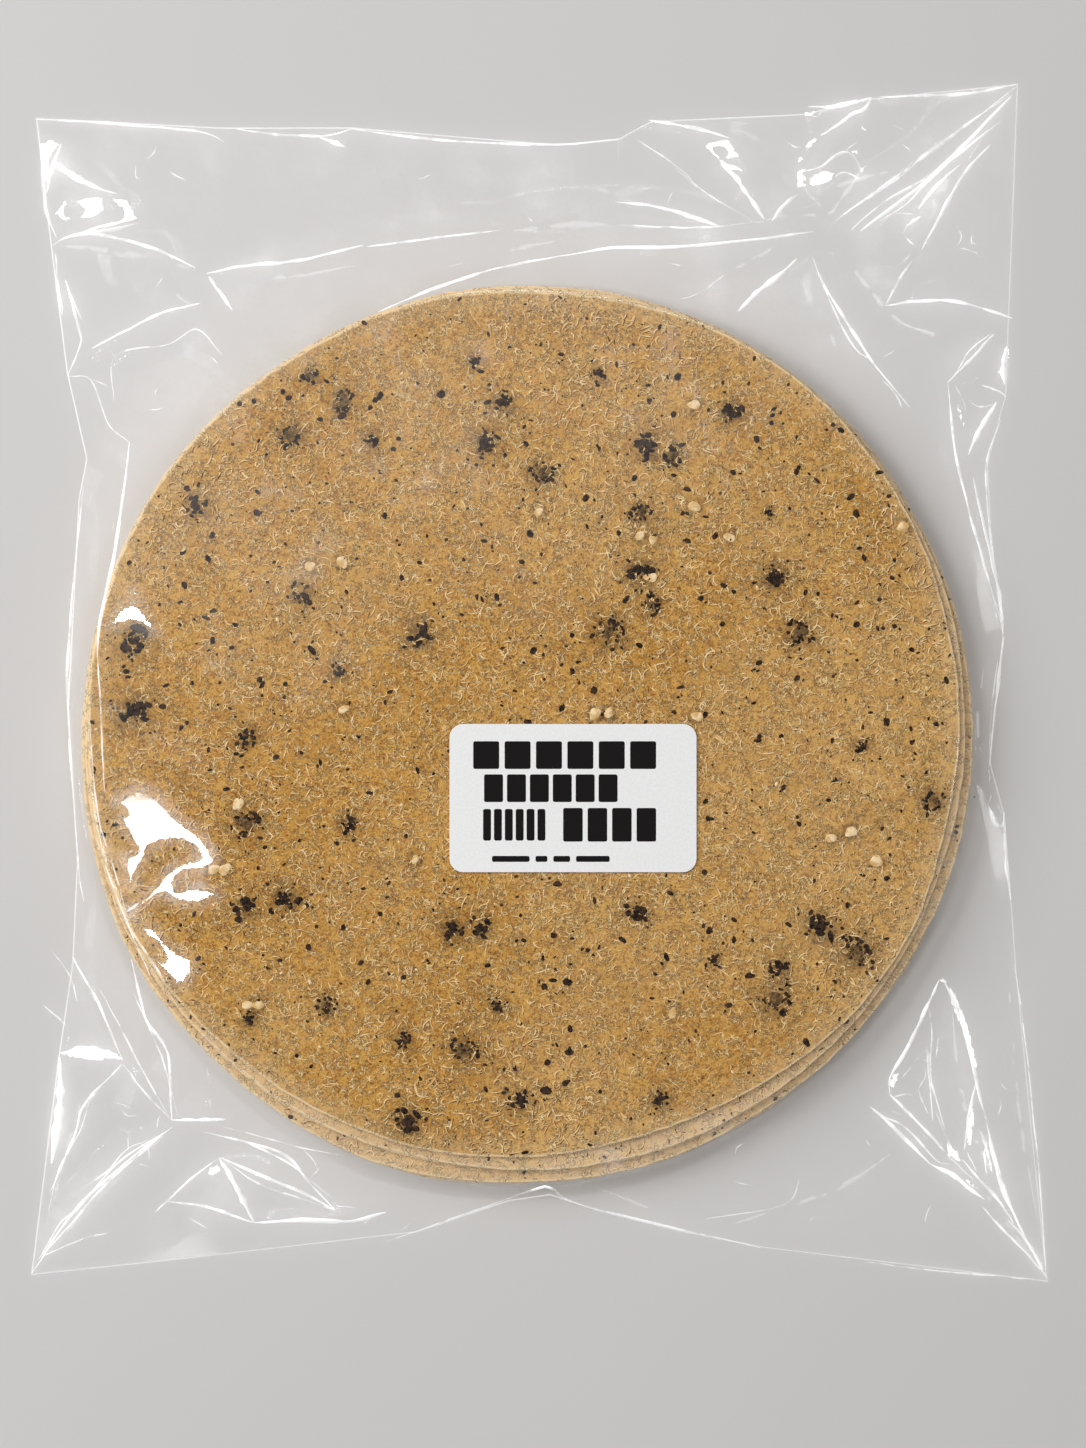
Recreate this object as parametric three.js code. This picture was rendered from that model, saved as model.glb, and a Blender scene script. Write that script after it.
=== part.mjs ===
import * as THREE from "three";

// A clear flat bag lying on its back, filled with a pile of thin round papadums, with a paper label on its
// front film.
// Lengths are millimetres. +Z is up, +Y runs to the bag's top edge, +X to its right edge.
// The origin is on the table, under the middle of the bag's outline.

// Pile of papadums, as it fills the bag
const PILE_X = -1.7;
const PILE_Y = -8.6;
const PAPAD_COUNT = 16;
const PAPAD_PITCH = 0.6;
const FILM_SLACK = 0.2;
const BAG_TOP = PAPAD_COUNT * PAPAD_PITCH + FILM_SLACK;

// Groups of papadums that slid as one, from the top down: share of the height, and the edge's reach from the
// pile's middle every 15 degrees, counter-clockwise from the +X side
const LAYERS = [
  {
    top: 1.0,
    reaches: [
      86.7, 86.8, 87.4, 88.0, 88.4, 87.8, 87.8, 88.5, 88.4, 89.1, 89.7, 89.8,
      89.6, 90.4, 90.9, 90.0, 89.2, 88.6, 87.4, 86.1, 86.3, 87.3, 87.7, 86.5,
    ],
  },
  {
    top: 0.9,
    reaches: [
      88.0, 88.2, 88.0, 88.3, 88.6, 88.5, 88.5, 88.7, 88.5, 89.2, 89.8, 89.9,
      90.2, 91.0, 91.8, 91.4, 91.5, 90.6, 90.1, 90.1, 89.4, 89.1, 88.5, 88.0,
    ],
  },
  {
    top: 0.7,
    reaches: [
      89.6, 89.4, 88.7, 88.8, 88.9, 89.0, 89.0, 89.1, 88.9, 89.5, 90.1, 90.4,
      91.1, 92.4, 93.7, 93.6, 94.1, 94.1, 93.0, 92.4, 91.6, 91.0, 90.5, 90.4,
    ],
  },
];
const RIM_SLACK = 0.4;

// Bag outline: four corners, and how far each edge is pulled in, as [share of the edge, inward pull]
const CORNERS = {
  topLeft: new THREE.Vector2(-103.3, 115.9),
  topRight: new THREE.Vector2(98.2, 122.9),
  bottomRight: new THREE.Vector2(104.3, -122.9),
  bottomLeft: new THREE.Vector2(-104.3, -121.5),
};
const EDGES = [
  {
    from: "bottomLeft",
    to: "bottomRight",
    parts: 40,
    pulls: [[0.13, 3.1], [0.38, 9.6], [0.47, 16.3], [0.51, 17.6], [0.56, 14.1], [0.64, 10.0], [0.72, 6.8]],
  },
  {
    from: "bottomRight",
    to: "topRight",
    parts: 46,
    pulls: [
      [0.17, 3.3], [0.26, 4.9], [0.39, 6.6], [0.435, 9.4],
      [0.54, 5.9], [0.62, 7.9], [0.685, 8.3], [0.74, 4.1],
    ],
  },
  {
    from: "topRight",
    to: "topLeft",
    parts: 38,
    pulls: [[0.15, 2.0], [0.22, 4.8], [0.375, 5.2], [0.41, 8.8], [0.47, 9.5], [0.68, 4.3], [0.81, 3.4]],
  },
  {
    from: "topLeft",
    to: "bottomLeft",
    parts: 46,
    pulls: [
      [0.1, 2.9], [0.22, 6.7], [0.295, 10.9], [0.33, 9.3],
      [0.51, 7.2], [0.64, 9.3], [0.73, 8.4], [0.81, 5.6],
    ],
  },
];

// Film margins round the pile
const EDGE_THICKNESS = 0.6;
const EDGE_LIFT = 0.5;
const LIFT_PER_PULL = 0.2;
const SLOPE_REACH = 24;
const SLOPE_CURVE = 1.6;
const PUFF = 0.8;

// Main folds of the front film, as ridges: the route's points, the height and the half width
const FOLDS = [
  { route: [[-32.7, 75.1], [4.8, 87.0], [59.4, 92.5]], rise: 1.8, spread: 9 },
  { route: [[-68.2, 83.9], [-8.1, 92.5], [15.7, 98.7], [45.9, 94.6]], rise: 1.2, spread: 7 },
  { route: [[-99.0, 90.9], [-68.2, 83.9]], rise: 1.8, spread: 9 },
  { route: [[-92.6, 67.7], [-69.5, 78.0]], rise: 1.6, spread: 8 },
  { route: [[-100.4, 109.4], [-82.0, 94.0], [-98.8, 90.7]], rise: 1.6, spread: 6 },
  { route: [[22.5, 115.3], [39.1, 111.4], [45.9, 94.6]], rise: 2.2, spread: 8 },
  { route: [[68.2, 120.2], [52.8, 101.2], [45.9, 94.6]], rise: 2.2, spread: 8 },
  { route: [[98.2, 122.9], [59.6, 93.4]], rise: 2.4, spread: 7 },
  { route: [[98.2, 122.9], [74.0, 83.7], [70.9, 77.6], [97.0, 74.9]], rise: 2.2, spread: 8 },
  { route: [[55.9, 87.2], [62.9, 73.9], [75.6, 56.4]], rise: 1.6, spread: 9 },
  { route: [[93.1, 71.8], [83.6, 61.6], [90.6, 25.0], [95.1, 9.6]], rise: 1.6, spread: 5 },
  { route: [[82.0, -60.1], [91.4, -91.1], [104.3, -122.9]], rise: 3.0, spread: 8 },
  { route: [[82.0, -60.1], [71.7, -82.1], [84.2, -96.0], [104.3, -122.9]], rise: 2.2, spread: 7 },
  { route: [[-95.5, -56.2], [-85.3, -77.4], [-75.2, -90.0]], rise: 1.6, spread: 6 },
  { route: [[-104.3, -121.5], [-75.2, -90.0], [-63.9, -89.1]], rise: 2.6, spread: 8 },
  { route: [[-82.8, -56.2], [-75.8, -75.5], [-75.2, -90.0]], rise: 1.4, spread: 5 },
  { route: [[-41.8, -107.7], [-65.6, -97.3], [-58.4, -110.6], [-31.3, -108.1]], rise: 2.2, spread: 7 },
];
const FOLD_CREST = 1.4;
const FOLD_END = 0.3;
const FOLD_FADE = 8;

// Rings of the front film over the flat top, over the pile's stepped side and over the margin
const TOP_RINGS = [34, 64, 82];
const SIDE_RINGS = 4;
const MARGIN_RINGS = 12;
const MARGIN_CROWDING = 1.5;
const BACK_RINGS = 4;

// Paper label
const LABEL_WIDTH = 50;
const LABEL_HEIGHT = 30;
const LABEL_CORNER = 2.8;
const LABEL_THICKNESS = 0.2;
const LABEL_X = 6.8;
const LABEL_Y = -23.4;
const LABEL_ARC_PARTS = 6;

// Finishes
const bagFinish = new THREE.MeshStandardMaterial({ color: 0xb28b54, roughness: 0.35, metalness: 0 });
const labelFinish = new THREE.MeshStandardMaterial({ color: 0xf2f2f1, roughness: 0.55, metalness: 0 });

// Inward pull of an edge at a share of its length, straight between the named places
function pullAt(edge, share) {
  const knots = [[0, 0], ...edge.pulls, [1, 0]];
  const next = knots.findIndex(([place]) => place >= share);
  if (next <= 0) {
    return 0;
  }
  const [startShare, startPull] = knots[next - 1];
  const [endShare, endPull] = knots[next];
  return startPull + ((endPull - startPull) * (share - startShare)) / (endShare - startShare);
}

// Distance from the pile's middle to the film over a papadum's edge, smooth between the named reaches
function filmReach({ reaches }, angle) {
  const place = (angle / (2 * Math.PI)) * reaches.length;
  const index = Math.floor(place);
  const t = place - index;
  const [before, start, end, after] = [-1, 0, 1, 2].map((step) => {
    return reaches[THREE.MathUtils.euclideanModulo(index + step, reaches.length)];
  });
  const squared = (2 * before - 5 * start + 4 * end - after) * t ** 2;
  const cubed = (3 * start - before - 3 * end + after) * t ** 3;
  return start + ((end - before) * t + squared + cubed) / 2 + RIM_SLACK;
}

// One spoke for each outline point, counter-clockwise: direction, top rim, pile's foot, outline, edge lift
function makeSpokes() {
  const middle = new THREE.Vector2(PILE_X, PILE_Y);
  const spokes = [];
  for (const edge of EDGES) {
    const start = CORNERS[edge.from];
    const along = CORNERS[edge.to].clone().sub(start);
    const inward = new THREE.Vector2(-along.y, along.x).normalize();
    for (let i = 0; i < edge.parts; i += 1) {
      const share = i / edge.parts;
      const pull = pullAt(edge, share);
      const ray = start.clone().addScaledVector(along, share).addScaledVector(inward, pull).sub(middle);
      const reach = ray.length();
      const angle = Math.atan2(ray.y, ray.x);
      const edges = LAYERS.map((layer) => filmReach(layer, angle));
      const lift = EDGE_LIFT + LIFT_PER_PULL * pull;
      spokes.push({ direction: ray.normalize(), rim: edges[0], foot: Math.max(...edges), reach, lift });
    }
  }
  return spokes;
}

// Share of the full height that the film keeps at a point, as it hangs from the nearest papadum's edge
function pileShare(x, y) {
  const distance = Math.hypot(x - PILE_X, y - PILE_Y);
  const angle = Math.atan2(y - PILE_Y, x - PILE_X);
  const shares = LAYERS.map((layer) => {
    const out = Math.max(0, distance - filmReach(layer, angle));
    return layer.top * Math.max(0, 1 - out / SLOPE_REACH) ** SLOPE_CURVE;
  });
  return Math.max(...shares);
}

// Height of one stretch of a fold at a point
function stretchRise(point, start, end, rise, spread) {
  const along = end.clone().sub(start);
  const share = THREE.MathUtils.clamp(point.clone().sub(start).dot(along) / along.lengthSq(), 0, 1);
  const away = point.distanceTo(start.clone().addScaledVector(along, share));
  const crest = FOLD_END + (1 - FOLD_END) * Math.sin(Math.PI * share);
  return rise * crest * Math.max(0, 1 - away / spread) ** FOLD_CREST;
}

// Height of the highest fold at a point
function foldRise(x, y) {
  const point = new THREE.Vector2(x, y);
  let highest = 0;
  for (const { route, rise, spread } of FOLDS) {
    for (let i = 1; i < route.length; i += 1) {
      const start = new THREE.Vector2(...route[i - 1]);
      const end = new THREE.Vector2(...route[i]);
      highest = Math.max(highest, stretchRise(point, start, end, rise, spread));
    }
  }
  return highest;
}

// Share of the margin, 0 at the pile's foot and 1 at the outline
function marginShare(spoke, distance) {
  return Math.max(0, (distance - spoke.foot) / (spoke.reach - spoke.foot));
}

// Point of the front film on a spoke
function frontPoint(spoke, distance) {
  const x = PILE_X + spoke.direction.x * distance;
  const y = PILE_Y + spoke.direction.y * distance;
  if (distance < spoke.rim) {
    return [x, y, BAG_TOP];
  }
  const share = marginShare(spoke, distance);
  const filled = (BAG_TOP - EDGE_THICKNESS) * pileShare(x, y) * (1 - share ** 2);
  const margin = spoke.lift * share ** 2 + EDGE_THICKNESS + PUFF * Math.sin(Math.PI * share);
  const fade = Math.min(1, (distance - spoke.rim) / FOLD_FADE) * (1 - share ** 6);
  return [x, y, filled + margin + foldRise(x, y) * fade];
}

// Point of the back film on a spoke, flat under the pile and lifting towards the outline
function backPoint(spoke, distance) {
  const x = PILE_X + spoke.direction.x * distance;
  const y = PILE_Y + spoke.direction.y * distance;
  return [x, y, spoke.lift * marginShare(spoke, distance) ** 2];
}

// Distances of the front film's rings on a spoke
function frontDistances(spoke) {
  const side = Array.from({ length: SIDE_RINGS + 1 }, (_, i) => {
    return spoke.rim + ((spoke.foot - spoke.rim) * i) / SIDE_RINGS;
  });
  const margin = Array.from({ length: MARGIN_RINGS }, (_, i) => {
    const share = ((i + 1) / MARGIN_RINGS) ** MARGIN_CROWDING;
    return spoke.foot + (spoke.reach - spoke.foot) * share;
  });
  return [...TOP_RINGS, ...side, ...margin];
}

// The filled bag as one closed body: front film, edge, back film and flat underside
function makeBag() {
  const spokes = makeSpokes();
  const positions = [PILE_X, PILE_Y, BAG_TOP];
  const rings = [];
  const addRing = (pointOn) => {
    rings.push(positions.length / 3);
    for (const spoke of spokes) {
      positions.push(...pointOn(spoke));
    }
  };
  const frontRings = TOP_RINGS.length + 1 + SIDE_RINGS + MARGIN_RINGS;
  const distances = new Map(spokes.map((spoke) => [spoke, frontDistances(spoke)]));
  for (let ring = 0; ring < frontRings; ring += 1) {
    addRing((spoke) => frontPoint(spoke, distances.get(spoke)[ring]));
  }
  for (let ring = BACK_RINGS; ring >= 0; ring -= 1) {
    addRing((spoke) => backPoint(spoke, spoke.foot + ((spoke.reach - spoke.foot) * ring) / BACK_RINGS));
  }
  const underside = positions.length / 3;
  positions.push(PILE_X, PILE_Y, 0);

  const triangles = [];
  for (let i = 0; i < spokes.length; i += 1) {
    const next = (i + 1) % spokes.length;
    triangles.push(0, rings[0] + i, rings[0] + next);
    for (let ring = 1; ring < rings.length; ring += 1) {
      const inner = rings[ring - 1];
      const outer = rings[ring];
      triangles.push(inner + i, outer + i, outer + next);
      triangles.push(inner + i, outer + next, inner + next);
    }
    const last = rings[rings.length - 1];
    triangles.push(last + i, underside, last + next);
  }
  const shape = new THREE.BufferGeometry();
  shape.setAttribute("position", new THREE.Float32BufferAttribute(positions, 3));
  shape.setIndex(triangles);
  shape.computeVertexNormals();
  const bag = new THREE.Mesh(shape, bagFinish);
  bag.name = "bag";
  return bag;
}

// The label as a thin sheet with round corners
function makeLabel() {
  const right = LABEL_WIDTH / 2;
  const top = LABEL_HEIGHT / 2;
  const outline = new THREE.Shape();
  outline.absarc(right - LABEL_CORNER, top - LABEL_CORNER, LABEL_CORNER, 0, Math.PI / 2);
  outline.absarc(LABEL_CORNER - right, top - LABEL_CORNER, LABEL_CORNER, Math.PI / 2, Math.PI);
  outline.absarc(LABEL_CORNER - right, LABEL_CORNER - top, LABEL_CORNER, Math.PI, 1.5 * Math.PI);
  outline.absarc(right - LABEL_CORNER, LABEL_CORNER - top, LABEL_CORNER, 1.5 * Math.PI, 2 * Math.PI);
  const shape = new THREE.ExtrudeGeometry(outline, {
    depth: LABEL_THICKNESS,
    bevelEnabled: false,
    curveSegments: LABEL_ARC_PARTS,
  });
  const label = new THREE.Mesh(shape, labelFinish);
  label.name = "label";
  label.position.set(LABEL_X, LABEL_Y, BAG_TOP);
  return label;
}

const pack = new THREE.Group();
pack.add(makeBag(), makeLabel());

export default pack;
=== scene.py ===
import functools

import bmesh
import bpy
import numpy as np
from bpy.props import FloatProperty, FloatVectorProperty, IntProperty, PointerProperty
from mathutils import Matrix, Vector
from mathutils.geometry import delaunay_2d_cdt


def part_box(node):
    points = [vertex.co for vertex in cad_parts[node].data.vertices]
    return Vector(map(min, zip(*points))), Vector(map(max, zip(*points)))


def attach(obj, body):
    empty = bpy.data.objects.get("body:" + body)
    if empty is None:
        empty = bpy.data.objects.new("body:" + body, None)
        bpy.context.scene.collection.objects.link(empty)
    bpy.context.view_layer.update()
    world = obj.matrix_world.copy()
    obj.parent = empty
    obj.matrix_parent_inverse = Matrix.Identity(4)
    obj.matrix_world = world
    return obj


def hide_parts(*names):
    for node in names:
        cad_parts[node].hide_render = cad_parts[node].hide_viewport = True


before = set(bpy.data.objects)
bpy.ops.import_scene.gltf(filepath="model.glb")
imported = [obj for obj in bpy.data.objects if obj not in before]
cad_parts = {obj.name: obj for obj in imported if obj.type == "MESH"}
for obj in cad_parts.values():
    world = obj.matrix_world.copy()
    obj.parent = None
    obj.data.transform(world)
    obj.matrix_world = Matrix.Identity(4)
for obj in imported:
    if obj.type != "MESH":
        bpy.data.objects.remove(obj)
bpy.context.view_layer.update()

bl_info = {
    "name": "Bag of Pepper Papadums",
    "version": (1, 0, 0),
    "blender": (4, 5, 0),
    "location": "View3D > Sidebar > Papad Pack",
    "description": "Builds a clear flat bag of thin round pepper papadums with a paper label",
    "category": "Add Mesh",
}

# Lengths below are millimetres in the part's frame: +X to the bag's right edge, +Y to its top edge, +Z up
MM = 0.001
BAG_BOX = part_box("bag")
LABEL_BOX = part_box("label")

# The camera looks straight down. The softboxes stand round it: place, width, depth and radiance
CAMERA_PLACE = (0.72, -8.41, 700.0)
SOFTBOXES = {
    "left": ((-370.0, -100.0, 1000.0), 80.0, 300.0, 19.0),
    "top": ((60.0, 560.0, 1000.0), 340.0, 80.0, 14.0),
    "right": ((400.0, -60.0, 1000.0), 80.0, 260.0, 7.0),
    "bottom": ((-60.0, -600.0, 1000.0), 300.0, 80.0, 4.0),
    "key": ((-1020.0, 480.0, 860.0), 900.0, 900.0, 4.9),
}
WORLD_STRENGTH = 0.27

# The photo's long side takes in this much of the top papad's plane
FRAME_LENGTH = 293.1
SENSOR_WIDTH = 36.0

# Seeds of the random draws of each group of pieces
SEEDS = {"crumple": 11, "facets": 37, "creases": 31, "papads": 7, "pepper": 17, "kernels": 19, "husk": 23}

# Share of light that the front film, its taut facets and the back film mirror straight on
FILM_GLOSS = 0.014
FACET_GLOSS = 0.1
BACK_FILM_GLOSS = 0.008

# Painted glow of a sharp crease, which stands in for light it throws back from all round, and the step of the
# points along a crease
CREASE_PAINTED_GLOW = 0.3
CREASE_STEP = 0.8

# Colours of the film's glints: white of the crease beads and seam, and the white of the painted glow
FILM_WHITE = (0.98, 0.98, 0.98, 1.0)
PAINTED_GLOW_WHITE = (1.0, 1.0, 1.0, 1.0)

# Painted glow of the film round a facet's glare, laid on as haze: its strength over the pile, over the
# margin, and its reach
PILE_GLOW = 11.0
MARGIN_GLOW = 2.5
GLOW_REACH = 1.3

# Painted sheen of the margin where the film faces the light, laid on as haze, and the slope at which it is
# full
PAINTED_SHEEN_HAZE = 5.0
SHEEN_SLOPE = 0.25

# Gloss of the margin beside that of the pile, and the painted glow of the haze and gloss, which stands in for
# light they throw back from all round
MARGIN_SHINE = 0.45
HAZE_PAINTED_GLOW = 0.14

# Pile of papadums, the same numbers as in the part's source; each layer has its top and its edge's reaches
PILE_X = -1.7
PILE_Y = -8.6
PAPAD_PITCH = 0.6
PILE_TOP = 9.6
BAG_TOP = BAG_BOX[1][2] / MM
LAYERS = (
    (1.0, (86.7, 86.8, 87.4, 88.0, 88.4, 87.8, 87.8, 88.5, 88.4, 89.1, 89.7, 89.8,
           89.6, 90.4, 90.9, 90.0, 89.2, 88.6, 87.4, 86.1, 86.3, 87.3, 87.7, 86.5)),
    (0.9, (88.0, 88.2, 88.0, 88.3, 88.6, 88.5, 88.5, 88.7, 88.5, 89.2, 89.8, 89.9,
           90.2, 91.0, 91.8, 91.4, 91.5, 90.6, 90.1, 90.1, 89.4, 89.1, 88.5, 88.0)),
    (0.7, (89.6, 89.4, 88.7, 88.8, 88.9, 89.0, 89.0, 89.1, 88.9, 89.5, 90.1, 90.4,
           91.1, 92.4, 93.7, 93.6, 94.1, 94.1, 93.0, 92.4, 91.6, 91.0, 90.5, 90.4)),
)

# Film past a papad's edge, bare rim inside it, drop of a papad's face and reach of the whole pile
RIM_SLACK = 0.4
RIM_MARGIN = 0.25
FACE_DROP = 0.1
PILE_REACH = 94.5

# Paleness of the ledges, painted light that lifts them out of the shade of the papads above, and the haze of
# the film over them and over the pile's upper left side, where it is partly a painted sheen towards the light
LEDGE_PAINTED_LIGHT = 0.52
LEDGE_VEIL = 4.0
PILE_HAZE_AND_SHEEN = 3.4

# A papad's mesh: corners round it, rings across the top papad and a lower one, rings at the rim as
# shares of its reach, and rings down its side as shares of its reach and its thickness
TOP_SPOKES = 480
LOWER_SPOKES = 200
TOP_RINGS = np.linspace(0.017, 0.95, 80)
LOWER_RINGS = (0.4, 0.9, 0.94, 0.96)
RIM_RINGS = (0.97, 0.98, 0.986, 0.99, 0.994, 0.997, 0.999, 1.0)
SIDE_RINGS = ((1.001, 0.4), (1.001, 0.8), (0.997, 1.0), (0.8, 1.0))

# A papad's waves along its cut edge, the edge's fine roughness, the face's droop at the edge and the
# rounding of its rim, and the waves of a face as height, length and seed
EDGE_WAVE = 0.5
EDGE_ROUGHNESS = 0.15
DROOP = 0.03
RIM_ROUNDING = 0.08
DOUGH_WAVES = ((0.05, 9.0, 21), (0.03, 3.1, 22))

# Bag outline, the same numbers as in the part's source: four corners, and for each
# edge its ends and the inward pulls at shares of its length
BOTTOM_LEFT = (-104.3, -121.5)
BOTTOM_RIGHT = (104.3, -122.9)
TOP_RIGHT = (98.2, 122.9)
TOP_LEFT = (-103.3, 115.9)
EDGES = (
    (BOTTOM_LEFT, BOTTOM_RIGHT,
     (0.13, 0.38, 0.47, 0.51, 0.56, 0.64, 0.72), (3.1, 9.6, 16.3, 17.6, 14.1, 10.0, 6.8)),
    (BOTTOM_RIGHT, TOP_RIGHT,
     (0.17, 0.26, 0.39, 0.435, 0.54, 0.62, 0.685, 0.74), (3.3, 4.9, 6.6, 9.4, 5.9, 7.9, 8.3, 4.1)),
    (TOP_RIGHT, TOP_LEFT,
     (0.15, 0.22, 0.375, 0.41, 0.47, 0.68, 0.81), (2.0, 4.8, 5.2, 8.8, 9.5, 4.3, 3.4)),
    (TOP_LEFT, BOTTOM_LEFT,
     (0.1, 0.22, 0.295, 0.33, 0.51, 0.64, 0.73, 0.81), (2.9, 6.7, 10.9, 9.3, 7.2, 9.3, 8.4, 5.6)),
)

# Film margins, the same numbers as in the part's source
EDGE_THICKNESS = 0.6
EDGE_LIFT = 0.5
LIFT_PER_PULL = 0.2
SLOPE_REACH = 24.0
SLOPE_CURVE = 1.6
PUFF = 0.8
FOLD_CREST = 1.4
FOLD_END = 0.3
FOLD_FADE = 8.0

# The film's mesh: parts along each edge of the bag, rings over the pile as shares of its reach and rings
# across the margin, front and back
FILM_PARTS = (160, 190, 160, 190)
FRONT_RINGS = (*np.linspace(0.07, 0.62, 12), *np.linspace(0.63, 1.0, 40))
FRONT_MARGIN_RINGS = 56
BACK_RINGS = (0.35, 0.7, 0.9, 1.0)
BACK_MARGIN_RINGS = 24
BACK_LEVEL = 0.02

# The seam: parts along each edge of the bag, and its section as inset and height
SEAM_PARTS = (300, 360, 300, 360)
SEAM_SECTION = ((0.3, 0.22), (0.08, 0.16), (0.0, 0.08), (0.08, 0.0), (0.3, -0.03))

# Main folds, the same numbers as in the part's source: height, half width and route
FOLDS = (
    (1.8, 9, (-32.7, 75.1), (4.8, 87.0), (59.4, 92.5)),
    (1.2, 7, (-68.2, 83.9), (-8.1, 92.5), (15.7, 98.7), (45.9, 94.6)),
    (1.8, 9, (-99.0, 90.9), (-68.2, 83.9)),
    (1.6, 8, (-92.6, 67.7), (-69.5, 78.0)),
    (1.6, 6, (-100.4, 109.4), (-82.0, 94.0), (-98.8, 90.7)),
    (2.2, 8, (22.5, 115.3), (39.1, 111.4), (45.9, 94.6)),
    (2.2, 8, (68.2, 120.2), (52.8, 101.2), (45.9, 94.6)),
    (2.4, 7, (98.2, 122.9), (59.6, 93.4)),
    (2.2, 8, (98.2, 122.9), (74.0, 83.7), (70.9, 77.6), (97.0, 74.9)),
    (1.6, 9, (55.9, 87.2), (62.9, 73.9), (75.6, 56.4)),
    (1.6, 5, (93.1, 71.8), (83.6, 61.6), (90.6, 25.0), (95.1, 9.6)),
    (3.0, 8, (82.0, -60.1), (91.4, -91.1), (104.3, -122.9)),
    (2.2, 7, (82.0, -60.1), (71.7, -82.1), (84.2, -96.0), (104.3, -122.9)),
    (1.6, 6, (-95.5, -56.2), (-85.3, -77.4), (-75.2, -90.0)),
    (2.6, 8, (-104.3, -121.5), (-75.2, -90.0), (-63.9, -89.1)),
    (1.4, 5, (-82.8, -56.2), (-75.8, -75.5), (-75.2, -90.0)),
    (2.2, 7, (-41.8, -107.7), (-65.6, -97.3), (-58.4, -110.6), (-31.3, -108.1)),
)

# Crumpled patches of the film: middle, radius and height of the crumple. Fine crinkles lie in them, more
# in a large or high one, each with half a length and a width between two sizes
CRUMPLES = (
    (-82, 98, 22, 0.35), (-84, 62, 20, 0.3), (-92, 35, 14, 0.35), (-90, -20, 10, 0.2),
    (-82, -90, 30, 0.45), (-45, -108, 22, 0.35), (86, -92, 28, 0.5), (40, -108, 24, 0.25),
    (93, 20, 14, 0.35), (93, -22, 8, 0.3), (60, 104, 26, 0.5), (84, 84, 24, 0.4),
    (30, 97, 16, 0.3), (-20, 98, 26, 0.15),
)
CRINKLE_SHARE = 0.8
CRINKLE_RUNS = (0.8, 2.4)
CRINKLE_WIDTHS = (0.2, 0.4)
CRUMPLE_SPACING = 8.0
CRUMPLE_REST = 0.06
FLAT_RELIEF = 0.1

# Taut facets of the film that face a softbox and show as patches of glare: softbox and outline
PILE_FACETS = (
    ("left", (-87, 11.5), (-85.5, 14.5), (-83, 16), (-81, 15.5), (-78, 11.5), (-77.5, 10), (-79.5, 11),
     (-82, 12), (-85, 11.5)),
    ("left", (-82.5, 18.5), (-81, 18.5), (-81.5, 17), (-82, 17.5)),
    ("left", (-85.5, -24), (-82.5, -22), (-79, -21.5), (-76.5, -24), (-73, -27.5), (-68.5, -31), (-66, -35),
     (-65.5, -36.5), (-67.5, -38), (-71.5, -38.5), (-73.5, -40), (-73.5, -42), (-70.5, -41.5), (-67.5, -41.5),
     (-65, -43), (-68.5, -45), (-73, -44.5), (-76, -43), (-80, -45), (-83.5, -46.5), (-80, -44),
     (-77.5, -41), (-75, -38), (-71.5, -36), (-68.5, -35.5), (-69, -34), (-71, -32.5), (-75, -32),
     (-79, -33.5), (-80, -36), (-81.5, -38.5), (-82.5, -41), (-83.5, -38), (-83.5, -35), (-81.5, -34),
     (-82.5, -31.5), (-84.5, -27.5), (-83.5, -26)),
    ("left", (-83.5, -46.5), (-81, -48.5), (-78, -49.5), (-76.5, -51.5), (-74, -54), (-70.5, -56),
     (-70, -58), (-70.5, -59.5), (-72.5, -61.5), (-74.5, -60), (-77.5, -56.5), (-75.5, -56),
     (-77, -53), (-79.5, -51.5), (-81, -49)),
)
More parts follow.
